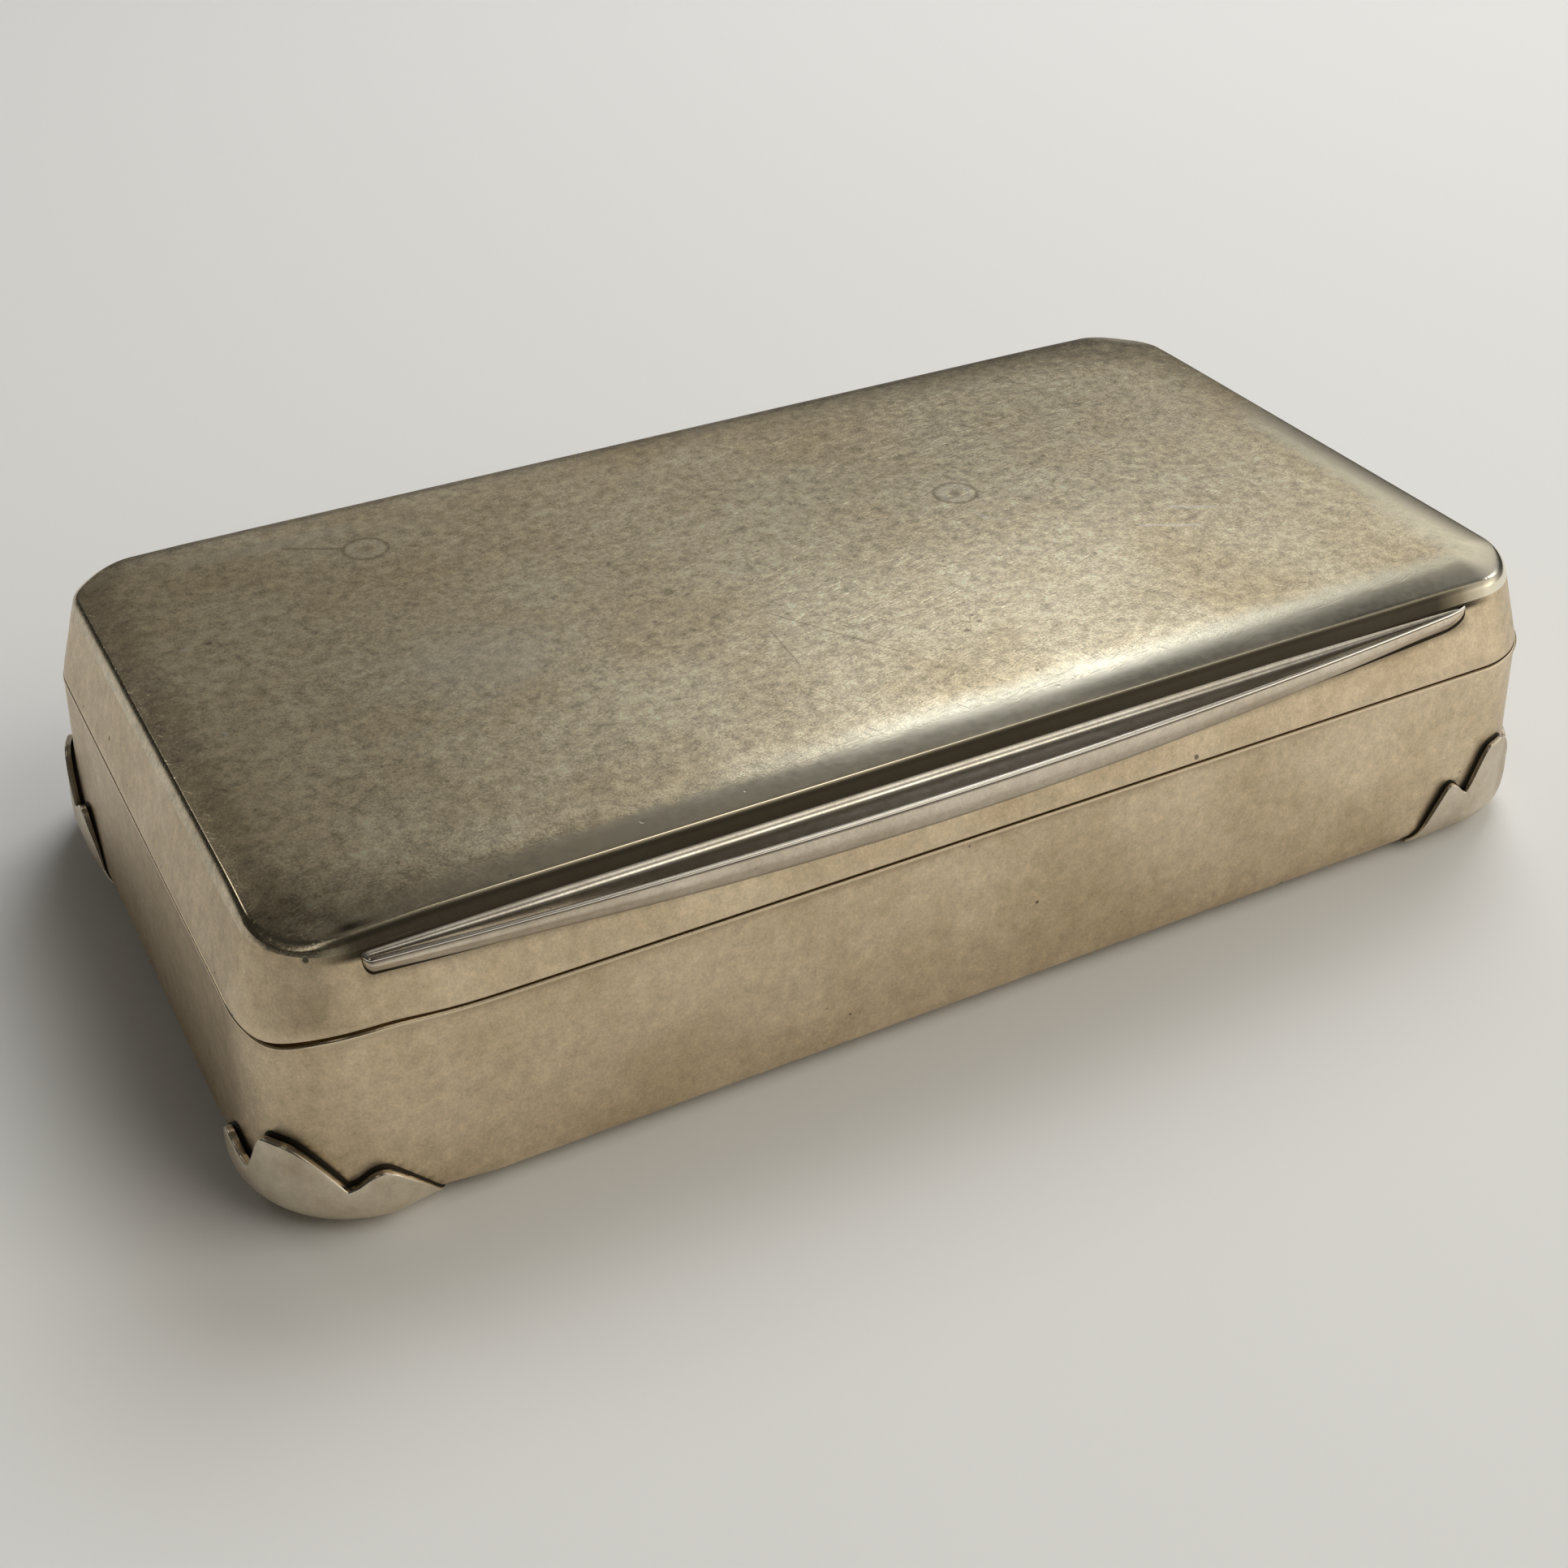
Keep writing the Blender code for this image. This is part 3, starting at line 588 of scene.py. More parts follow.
def silver_material(name, finish):
    """A silver material: the shared surface group with this piece's values, and its gilt inside"""
    material = bpy.data.materials.new(name)
    material.use_nodes = True
    tree = material.node_tree
    shader = tree.nodes["Principled BSDF"]
    shader.inputs["Metallic"].default_value = 1.0
    masks = {"Worn": attribute(tree, "worn"), "Dirt And Shade": attribute(tree, "dirt")}
    surface = add(tree, "ShaderNodeGroup", node_tree=OLD_SILVER)
    for socket, value in finish.items():
        surface.inputs[socket].default_value = value
    for socket, mask in masks.items():
        tree.links.new(mask, surface.inputs[socket])
    inside = attribute(tree, "inside")
    colour = blend(tree, inside, surface.outputs["Color"], GILT_COLOUR)
    rough = maths(tree, "MULTIPLY_ADD", inside, GILT_SMOOTHER, surface.outputs["Roughness"])
    tree.links.new(colour, shader.inputs["Base Color"])
    tree.links.new(rough, shader.inputs["Roughness"])
    relief = {"Height": surface.outputs["Height"], "Distance": RELIEF_DEPTH, "Strength": 1.0}
    tree.links.new(add(tree, "ShaderNodeBump", relief).outputs[0], shader.inputs["Normal"])
    return material


WALL_FINISH = {
    "Silver": (0.765, 0.635, 0.455, 1.0), "Tarnish": (0.575, 0.455, 0.295, 1.0), "Tarnish Amount": 0.9,
    "Patch Size": 9.0, "Mottle": 0.9, "Relief": 1.8, "Pits": 0.9, "Scratches": 0.1, "Roughness": 0.34,
}
wall_silver = silver_material("wall_silver", WALL_FINISH)

wall_top = skin_travel(SEAM_HEIGHT - SEAM_GAP / 2)
band_travels = [-LIP_REACH, -LIP_REACH / 2, *spaced(0.0, EDGE_LENGTH, EDGE_STEPS)]
band_travels += spaced(EDGE_LENGTH, wall_top, WALL_STEPS)[1:]
band_profile = [skin_point(travel, 0.0) for travel in band_travels]
top_corner = len(band_profile) - 1
band_profile += [skin_point(travel, -WALL) for travel in reversed(band_travels[::3])]
band_profile = fillet(band_profile, {top_corner: RIM_ROUND, top_corner + 1: RIM_ROUND})
band_values = {"Length": LENGTH, "Width": WIDTH, "Corner Radius": CORNER_RADIUS, "Spacing": SWEEP_SPACING,
               "Material": wall_silver}
base_band = grown("base_band_silver", closed_profile(band_profile), SWEEP, band_values)
cut_for_hinge(base_band)
smoothed(base_band)
lipped = vertex_places(base_band)
lip = LIP_SPREAD * rise(lipped[:, 2], SEAM_HEIGHT - LIP_START, SEAM_HEIGHT - LIP_FULL)
lip *= LIP_LEFT + (1 - LIP_LEFT) * rise(lipped[:, 0], -HALF_LENGTH, CORNER_RADIUS - HALF_LENGTH)
lipped[:, :2] += lip[:, None] * plan_outward(lipped)
move_vertices(base_band, seam_strain(lipped, -1, FLARE_SLOPE))


# Base plate: the flat bottom, cut to drop inside the base band and soldered to its lip.
# Its upper side, the floor of the compartment, is gilt like all of the inside.
PLATE_GAUGE = 0.7 * MM
SOLDER_GAP = 0.1 * MM
PLATE_SAG = 0.12 * MM
PLATE_UNDER_SAG = 0.4 * PLATE_SAG
PLATE_MIDDLE = 0.9 * HALF_WIDTH
# Rows from the plate's middle to its edge: how far in they lie and how far they sag, as shares
PLATE_ROWS = ((0.92, 1.0), (0.7, 0.85), (0.45, 0.5), (0.2, 0.15), (0.0, 0.0))
PLATE_DIRT_WIDTH = 1.2 * MM
PLATE_DIRT_SHARE = 0.8
# The share of a sheet's gauge past which its face counts as the gilt inside
INSIDE_SHARE = 0.6
LEAST_CORNER = 0.3 * CORNER_RADIUS
OUTLINE_STEPS = 16
SIDE_STEPS = 20


def outline(outset, height):
    """Points of the box's rounded rectangle in plan, drawn at an outset from the seam"""
    radius = max(CORNER_RADIUS + outset, LEAST_CORNER)
    arcs = []
    for corner, (side_x, side_y) in enumerate(((1, 1), (-1, 1), (-1, -1), (1, -1))):
        x = side_x * (HALF_LENGTH + outset - radius)
        y = side_y * (HALF_WIDTH + outset - radius)
        turns = [pi / 2 * (corner + k / OUTLINE_STEPS) for k in range(OUTLINE_STEPS + 1)]
        arcs.append([Vector((x + radius * cos(turn), y + radius * sin(turn), height)) for turn in turns])
    points = []
    for arc, following in zip(arcs, arcs[1:] + arcs[:1]):
        points += arc + [arc[-1].lerp(following[0], k / SIDE_STEPS) for k in range(1, SIDE_STEPS)]
    return points


def loft(name, loops, material, angle=38.0, painted=None):
    """A closed piece skinned through loops of points and capped; a value painted along a
    loop is repeated on every loop"""
    painted = painted or {}
    bm = bmesh.new()
    for layer_name in painted:
        bm.verts.layers.float.new(layer_name)
    rows = [[bm.verts.new(point) for point in loop] for loop in loops]
    for layer_name, values in painted.items():
        layer = bm.verts.layers.float[layer_name]
        for row in rows:
            for vertex, value in zip(row, values):
                vertex[layer] = value
    for near, far in zip(rows, rows[1:]):
        for k in range(len(near)):
            nxt = (k + 1) % len(near)
            bm.faces.new((near[k], near[nxt], far[nxt], far[k]))
    bm.faces.new(rows[0])
    bm.faces.new(rows[-1])
    mesh = bpy.data.meshes.new(name)
    bm.to_mesh(mesh)
    bm.free()
    mesh.materials.append(material)
    piece = new_object(name, mesh)
    smoothed(piece, angle)
    return piece


PLATE_FINISH = {
    "Silver": (0.88, 0.79, 0.62, 1.0), "Tarnish": (0.66, 0.53, 0.35, 1.0), "Tarnish Amount": 1.0,
    "Patch Size": 15.0, "Mottle": 0.6, "Relief": 3.0, "Pits": 0.9, "Scratches": 1.0, "Roughness": 0.4,
}
plate_silver = silver_material("plate_silver", PLATE_FINISH)
plate_low = BASE_LIFT + WALL + SOLDER_GAP
plate_high = plate_low + PLATE_GAUGE
plate_loops = [outline(EDGE_OUTSET - PLATE_MIDDLE * inward, plate_low + PLATE_UNDER_SAG * sag)
               for inward, sag in PLATE_ROWS]
plate_loops += [outline(EDGE_OUTSET, plate_low + PLATE_GAUGE / 2)]
plate_loops += [outline(EDGE_OUTSET - PLATE_MIDDLE * inward, plate_high - PLATE_SAG * sag)
                for inward, sag in reversed(PLATE_ROWS)]
base_plate = loft("base_plate_silver", plate_loops, plate_silver)
plate_places = vertex_places(base_plate)
paint(base_plate, inside=plate_places[:, 2] > plate_low + PLATE_GAUGE * INSIDE_SHARE,
      dirt=PLATE_DIRT_SHARE * rise(plan_outset(plate_places), EDGE_OUTSET - PLATE_DIRT_WIDTH, EDGE_OUTSET))
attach(base_plate, "box")
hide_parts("base_plate")


# Bezel strip: the inner rim that the lid closes over. One strip of silver bent to the
# front and both ends, leaning in above the seam, soldered inside the base band and gilt.
BEZEL_GAUGE = 0.5 * MM
BEZEL_DEPTH = 2.8 * MM
BEZEL_RISE = 1.3 * MM
BEZEL_ROUND = 0.2 * MM
BEZEL_STEPS = 14
SEAT_GAP = 0.3 * MM
BEZEL_BACK = HALF_WIDTH - CORNER_RADIUS - 2.0 * MM
BEZEL_OUTER = -WALL / cos(FLARE_ANGLE) - SEAT_GAP
BEZEL_LEAN = 0.266
BEZEL_DIRT = (0.05 * MM, 0.5 * MM)
BEZEL_DIRT_SHARE = 0.6
BEZEL_WORN = (0.7 * BEZEL_RISE, BEZEL_RISE)
BEZEL_WORN_SHARE = 0.5


def bezel_section():
    """Closed (outset, height) outline of the bezel's sheet, its upper edge rounded"""
    tip = BEZEL_OUTER - BEZEL_LEAN * BEZEL_RISE
    low = SEAM_HEIGHT - BEZEL_DEPTH
    high = SEAM_HEIGHT + BEZEL_RISE
    corners = [(BEZEL_OUTER, low), (BEZEL_OUTER, SEAM_HEIGHT), (tip, high), (tip - BEZEL_GAUGE, high),
               (BEZEL_OUTER - BEZEL_GAUGE, SEAM_HEIGHT), (BEZEL_OUTER - BEZEL_GAUGE, low)]
    return fillet(corners, {2: BEZEL_ROUND, 3: BEZEL_ROUND})


def bezel_rail(outset, height):
    """Points of the bezel's path at one place of its section, from back left to back right"""
    radius = CORNER_RADIUS + outset
    points = [Vector((-HALF_LENGTH - outset, BEZEL_BACK, height))]
    for side, first in ((-1, pi), (1, 3 * pi / 2)):
        for angle in spaced(first, first + pi / 2, BEZEL_STEPS):
            points.append(Vector((side * (HALF_LENGTH - CORNER_RADIUS) + radius * cos(angle),
                                  CORNER_RADIUS - HALF_WIDTH + radius * sin(angle), height)))
    return points + [Vector((HALF_LENGTH + outset, BEZEL_BACK, height))]


GILT_FINISH = {
    "Silver": (0.88, 0.68, 0.36, 1.0), "Tarnish": (0.72, 0.50, 0.24, 1.0), "Tarnish Amount": 0.8,
    "Patch Size": 7.0, "Mottle": 0.25, "Relief": 1.0, "Pits": 0.3, "Scratches": 0.5, "Roughness": 0.32,
}
gilt = silver_material("gilt", GILT_FINISH)
bezel_loops = list(zip(*[bezel_rail(*point) for point in bezel_section()]))
bezel = loft("bezel_strip_gilt", bezel_loops, gilt)
bezel_level = vertex_places(bezel)[:, 2] - SEAM_HEIGHT
paint(bezel, dirt=BEZEL_DIRT_SHARE * (1 - rise(np.abs(bezel_level), *BEZEL_DIRT)),
      worn=BEZEL_WORN_SHARE * rise(bezel_level, *BEZEL_WORN))
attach(bezel, "box")
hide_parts("bezel_strip")


# Corner mounts: four scalloped pieces of silver sheet, bent round the bottom corners and
# under the base, and soldered on. Each was cut by hand, so no two sit quite alike.
MOUNT_GAUGE = 0.65 * MM
MOUNT_STAND_OFF = 0.06 * MM
MOUNT_INNER = 0.3 * MOUNT_STAND_OFF
MOUNT_SOLE = 1.4 * MM
MOUNT_ROUND = 0.12 * MM
MOUNT_LAP = 0.14 * MM
MOUNT_EDGE_SHARE = 0.8
MOUNT_EDGE_STEPS = 9
MOUNT_WALL_STEPS = 7
MOUNT_ROUND_STEPS = 3
MOUNT_RIM_WORN = 0.9
# Rows behind the rim: rise above it, distance off the wall as a share of the gauge, worn, dirt and painted
# shade
MOUNT_BEHIND = ((-0.02 * MM, 0.34, 0.5, 0.0), (-0.08 * MM, 0.28, 0.0, 1.0),
                (-0.18 * MM, 0.15, 0.0, 1.0), (0.02 * MM, 0.05, 0.0, 1.0))
WRAP_RADIUS = CORNER_RADIUS + FLARE_SLOPE * (SEAM_HEIGHT - EDGE_HEIGHT)
MOUNT_LOBE = ((0.0, 6.3), (0.8, 6.22), (1.35, 5.85), (1.9, 5.15), (2.45, 4.3), (2.93, 3.55))
MOUNT_WING = ((2.93, 3.55), (3.5, 3.78), (4.2, 4.22), (4.85, 4.42), (5.45, 4.3), (6.4, 3.55),
              (7.3, 2.7), (8.0, 1.95), (8.6, 1.2), (8.9, 0.85))
MOUNT_LOBE_POINTS = 19
MOUNT_WING_POINTS = 37
MOUNT_THINNING = 0.7
MOUNT_THIN_ENDS = (5.0 * MM, 8.6 * MM)
# Each mount's corner, slip along the wall, stretch in height, lean of its middle lobe, reach of
# its wing on the long wall, share of its gauge left, how much painted shade darkens it all over,
# and how far its foot is worn in under the box, in mm
MOUNTS = {
    "corner_mount_front_left": (-1, -1, -0.3, 1.0, -0.9, 0.9, 1.0, 0.0, 0.9),
    "corner_mount_front_right": (1, -1, 2.9, 1.1, 0.4, 0.65, 0.69, 0.15, 0.5),
    "corner_mount_back_left": (-1, 1, -3.0, 1.15, 0.2, 0.95, 0.9, 0.05, 0.6),
    "corner_mount_back_right": (1, 1, 1.5, 1.05, -0.3, 0.85, 0.8, 0.1, 0.5),
}
FOOT_HEIGHT = 3.0 * MM
FOOT_REACH = 11.0 * MM
FOOT_POWER = 1.5
# Painted shade on the wall above the mounts' edges: its width and strength
MOUNT_SHADE = (0.04 * MM, 0.3 * MM)
MOUNT_SHADE_SHARE = 0.6
RIM_WORN = (SEAM_HEIGHT - 0.32 * MM, SEAM_HEIGHT - 0.16 * MM)


def through(points, spots):
    """Heights on a smooth curve through (distance, height) points"""
    x, y = np.array(points).T
    slopes = np.gradient(y, x)
    k = np.clip(np.searchsorted(x, spots) - 1, 0, len(x) - 2)
    gap = x[k + 1] - x[k]
    t = (spots - x[k]) / gap
    rest = 1 - t
    start = y[k] * (1 + 2 * t) * rest * rest + slopes[k] * gap * t * rest * rest
    return start + y[k + 1] * t * t * (3 - 2 * t) - slopes[k + 1] * gap * t * t * rest


def scallop(lean, wing_share):
    """(distance, height) along a mount's scalloped edge: its middle lobe leans to one side, and
    its wing on the long wall is cut shorter"""
    lobe = np.linspace(0, MOUNT_LOBE[-1][0], MOUNT_LOBE_POINTS)
    wing = np.linspace(MOUNT_WING[0][0], MOUNT_WING[-1][0], MOUNT_WING_POINTS)[1:]
    half = np.concatenate([lobe, wing])
    tops = np.concatenate([through(MOUNT_LOBE, lobe), through(MOUNT_WING, wing)])
    spots = np.concatenate([-half[:0:-1], half])
    inner = np.clip(spots / MOUNT_LOBE[-1][0], -1, 1)
    spots = spots + lean * (1 - inner ** 2) ** 2
    root = MOUNT_WING[0][0]
    spots = np.where(spots > root, root + (spots - root) * wing_share, spots)
    return spots * MM, np.concatenate([tops[:0:-1], tops]) * MM


def corner_point(sign_x, sign_y, along, outset, height):
    """Place on a corner, by distance along the wall from the corner's middle"""
    quarter = WRAP_RADIUS * pi / 4
    radius = CORNER_RADIUS + outset
    turn = pi / 4 + min(max(along, -quarter), quarter) / WRAP_RADIUS
    x = HALF_LENGTH - CORNER_RADIUS + radius * cos(turn) - max(along - quarter, 0.0)
    y = HALF_WIDTH - CORNER_RADIUS + radius * sin(turn) - max(-along - quarter, 0.0)
    return Vector((sign_x * x, sign_y * y, height))


def mount_section(top, gauge):
    """Rows of a mount's section, (travel, offset, worn, dirt and painted shade): up the outer face,
    over the rubbed rim, through the dirt and painted shade between mount and wall, and down the inner face"""
    outer = MOUNT_STAND_OFF + gauge
    edge = min(EDGE_LENGTH, top * MOUNT_EDGE_SHARE)
    travels = [-MOUNT_SOLE, -MOUNT_SOLE / 2, *spaced(0.0, edge, MOUNT_EDGE_STEPS)]
    travels += spaced(edge, top - MOUNT_ROUND, MOUNT_WALL_STEPS)[1:]
    rows = [(travel, outer, 0.0, 0.0) for travel in travels]
    for turn in spaced(0.0, pi / 2, MOUNT_ROUND_STEPS)[1:]:
        rows.append((top - MOUNT_ROUND * (1 - sin(turn)),
                     outer - MOUNT_ROUND * (1 - cos(turn)), MOUNT_RIM_WORN, 0.0))
    for above, share, worn, dirt in MOUNT_BEHIND:
        rows.append((top + above, MOUNT_STAND_OFF + gauge * share, worn, dirt))
    return rows + [(travel, MOUNT_INNER, 0.0, 1.0) for travel in (top + MOUNT_LAP, *reversed(travels[::2]))]


def worn_foot(places):
    """The places with the box's feet worn in under its corners"""
    outward = np.abs(plan_outward(places))
    worn = places.copy()
    low = np.clip(1 - places[:, 2] / FOOT_HEIGHT, 0, 1) ** FOOT_POWER
    fade = low * (1 - rise(np.abs(from_corner(places)), FOOT_REACH / 2, FOOT_REACH))
    for side_x, side_y, *_, tuck in MOUNTS.values():
        amount = in_corner(places, side_x, side_y) * fade * tuck * MM
        worn[:, :2] -= amount[:, None] * outward * (side_x, side_y)
    return worn


def corner_mount(name, sign_x, sign_y, slip, stretch, lean, wing_share, left, dark, tuck):
    """One scalloped mount, wrapped round its corner, and the line its edge draws on the wall"""
    stations, heights = scallop(lean, wing_share)
    low = heights[0]
    loops = []
    edge_line = []
    for station, height in zip(stations, heights):
        along = station + slip * MM
        top = skin_travel(low + (height - low) * stretch)
        gauge = MOUNT_GAUGE * left * (1 - MOUNT_THINNING * float(rise(abs(station), *MOUNT_THIN_ENDS)))
        section = mount_section(top, gauge)
        skin = [skin_point(travel, offset) for travel, offset, *_ in section]
        loops.append([corner_point(sign_x, sign_y, along, outset, max(level, 0.0)) for outset, level in skin])
        edge_line.append(corner_point(sign_x, sign_y, along, *skin_point(top, 0.0)))
    # A mount's dark value is painted shade over the whole mount
    painted = {"worn": [row[2] for row in section], "dirt": [max(row[3], dark) for row in section]}
    return loft(name + "_silver", loops, mount_silver, 50.0, painted), edge_line


def near_line(piece, line):
    """Distance from each vertex of a piece to the nearest point of a line"""
    tree = KDTree(len(line))
    for k, point in enumerate(line):
        tree.insert(point, k)
    tree.balance()
    return np.array([tree.find(vertex.co)[2] for vertex in piece.data.vertices])


MOUNT_FINISH = {
    "Silver": (0.84, 0.76, 0.62, 1.0), "Tarnish": (0.60, 0.51, 0.38, 1.0), "Tarnish Amount": 0.9,
    "Patch Size": 4.0, "Mottle": 0.45, "Relief": 2.0, "Pits": 0.5, "Scratches": 0.3, "Roughness": 0.38,
}
mount_silver = silver_material("mount_silver", MOUNT_FINISH)
mount_edges = []
for node, cut in MOUNTS.items():
    mount, edge_line = corner_mount(node, *cut)
    mount_edges += edge_line
    move_vertices(mount, worn_foot(vertex_places(mount)))
    paint(mount)
    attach(mount, "box")
    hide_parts(node)

band_places = vertex_places(base_band)
band_outset = plan_outset(band_places)
band_skin = FLARE_SLOPE * (SEAM_HEIGHT - band_places[:, 2])
band_inside = (band_outset < band_skin - WALL * INSIDE_SHARE) & (band_places[:, 2] > EDGE_HEIGHT)
# The wall is painted dark along the mounts' upper edges, as shade where they stand off it
band_shade = 1 - rise(near_line(base_band, mount_edges), *MOUNT_SHADE)
band_dirt = MOUNT_SHADE_SHARE * band_shade * ~band_inside
paint(base_band, inside=band_inside, dirt=band_dirt, worn=rise(band_places[:, 2], *RIM_WORN))
move_vertices(base_band, worn_foot(band_places))
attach(base_band, "box")
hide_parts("base_band")


# Lid band: the lid's side wall, bent like the base's and leaning in towards the top. Its
# lower edge has been strained up a little at the front left corner, where the seam gapes.
LID_DEPTH = 6.05 * MM
LID_LEAN = 1.4 * MM
LID_GAUGE = 0.75 * MM
LID_LIP = 0.2 * LIP_SPREAD
LID_STEPS = 16
LID_RIM_WORN = (0.1 * MM, 0.4 * MM)
LID_RIM_SHARE = 0.25
ARRIS_RADIUS = 1.05 * MM
CROWN_RISE = 0.08 * MM
BORDER_DROP = 0.30 * MM
JOIN_LEVEL = SEAM_HEIGHT + 4.5 * MM
ARRIS_HEIGHT = SEAM_HEIGHT + LID_DEPTH - CROWN_RISE - BORDER_DROP - ARRIS_RADIUS
LEAN_SLOPE = LID_LEAN / (ARRIS_HEIGHT - SEAM_HEIGHT)
LEAN_ANGLE = atan(LEAN_SLOPE)
# Where the thumbpiece sits and how high its face is, which the painted shade round it follows
THUMB_HALF = 37.0 * MM
THUMB_SHIFT = -0.75 * MM
THUMB_SHELF = 4.2 * MM
THUMB_CREST = 0.17 * MM
THUMB_MIDDLE_FACE = 2.3 * MM
THUMB_TIP_FACE = 1.05 * MM
# Where that painted shade starts and ends: heights above the seam in the hollow over the thumbpiece,
# depths under its face, and shares of its half length
HOLLOW_SHADE = (4.0 * MM, 4.2 * MM, 5.45 * MM, 5.57 * MM, 1.0, 1.08)
UNDER_SHADE = (-0.5 * MM, 0.0, 0.1 * MM, 0.7 * MM, 0.99, 1.01)
FRONT_SHADE = (HALF_WIDTH - 3.0 * MM, HALF_WIDTH - 2.4 * MM)
HOLLOW_DARK = 0.97
UNDER_DARK = 0.5


def between(values, start, full, fade, end):
    """Smooth step of an array up to 1 and down again"""
    return rise(values, start, full) * (1 - rise(values, fade, end))


def thumb_face(share):
    """Height of the thumbpiece's face, by distance from its middle as a share of its half length"""
    return THUMB_TIP_FACE + (THUMB_MIDDLE_FACE - THUMB_TIP_FACE) * np.maximum(1 - share ** 2, 0)


def thumb_dirt(places):
    """Painted shade on the front of the lid, dark in the hollow above the thumbpiece and close under it"""
    share = np.abs(places[:, 0] - THUMB_SHIFT) / THUMB_HALF
    level = places[:, 2] - SEAM_HEIGHT
    above = between(level, *HOLLOW_SHADE[:4]) * (1 - rise(share, *HOLLOW_SHADE[4:]))
    below = THUMB_SHELF + THUMB_CREST - thumb_face(share) - level
    under = between(below, *UNDER_SHADE[:4]) * (1 - rise(share, *UNDER_SHADE[4:]))
    return rise(-places[:, 1], *FRONT_SHADE) * (HOLLOW_DARK * above + UNDER_DARK * under)


def lid_outset(height):
    """Outer face of the lid's leaning wall"""
    return -LEAN_SLOPE * (height - SEAM_HEIGHT)


lid_wall = LID_GAUGE / cos(LEAN_ANGLE)
levels = spaced(SEAM_HEIGHT + SEAM_GAP / 2, JOIN_LEVEL, LID_STEPS)
lid_profile = [(lid_outset(levels[0]) - LID_LIP, levels[0])]
lid_profile += [(lid_outset(level), level) for level in levels[2:]]
lid_profile += [(lid_outset(level) - lid_wall, level) for level in reversed(levels[::4])]
lid_profile = fillet(lid_profile, {0: RIM_ROUND / 8, len(lid_profile) - 1: RIM_ROUND / 2})
lid_band = grown("lid_band_silver", closed_profile(lid_profile), SWEEP, band_values)
cut_for_hinge(lid_band)
smoothed(lid_band)
move_vertices(lid_band, seam_strain(vertex_places(lid_band), 1, LEAN_SLOPE))
lid_places = vertex_places(lid_band)
lid_inside = plan_outset(lid_places) < lid_outset(lid_places[:, 2]) - LID_GAUGE * INSIDE_SHARE
# The lid band's front is painted dark over and under the thumbpiece as shade
paint(lid_band, inside=lid_inside, dirt=thumb_dirt(lid_places) * ~lid_inside,
      worn=LID_RIM_SHARE * (1 - rise(lid_places[:, 2] - SEAM_HEIGHT, *LID_RIM_WORN)))
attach(lid_band, "lid")
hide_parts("lid_band")


# Lid top: one plate pressed over a form, nearly flat, falling away over a polished border
# to a crisp rounded arris, and soldered to the lid band below it.
PILLOW_WIDTH = 5.6 * MM
PILLOW_DROP = 0.29 * MM
PILLOW_POWER = 2.3
BORDER_WIDTH = 2.4 * MM
BORDER_FALL = 0.13 * MM
BORDER_POWER = 1.6
TOP_LEVEL = SEAM_HEIGHT + LID_DEPTH - 0.02 * MM
TOP_ARRIS_RADIUS = 0.95 * MM
CREASE_ANGLE = radians(50.0)
CREASE_RADIUS = 0.26 * MM
CREASE_WORN_ANGLE = LEAN_ANGLE + 0.2
CREASE_WORN_RADIUS = 1.1 * MM
CREASE_WORN_POWER = 1.5
# The painted highlight along the crease, partly rubbed silver: its place and width in mm, how bright
# it is at the left, and how much it changes where along the box
CREASE_HIGHLIGHT = (0.04, 0.09)
CREASE_HIGHLIGHT_LEFT = 0.85
CREASE_HIGHLIGHT_CHANGES = ((-0.65, -12 * MM, 4 * MM), (0.6, 22 * MM, 30 * MM))
LEAST_CREASE = 0.02 * MM
SHOULDER_STEPS = 8
CREASE_STEPS = 9
PILLOW_STEPS = 24
CROWN_STEPS = 10
CROWN_REACH = 0.86
# How far each corner of the top is worn down, in mm
CORNER_DROOP = ((-1, -1, 0.42), (1, -1, 0.05), (-1, 1, 0.15), (1, 1, 0.1))
CORNER_DROOP_REACH = 3.6 * MM
CORNER_DROOP_START = 1.0 * MM


def pillow(inset):
    """Height of the lid's top by the distance in from its arris"""
    fall = PILLOW_DROP * max(1 - inset / PILLOW_WIDTH, 0.0) ** PILLOW_POWER
    fall += BORDER_FALL * max(1 - inset / BORDER_WIDTH, 0.0) ** BORDER_POWER
    return TOP_LEVEL - CROWN_RISE - fall


def arc(x, height, radius, turns):
    """Points on an arc"""
    return [(x + radius * cos(turn), height + radius * sin(turn)) for turn in turns]


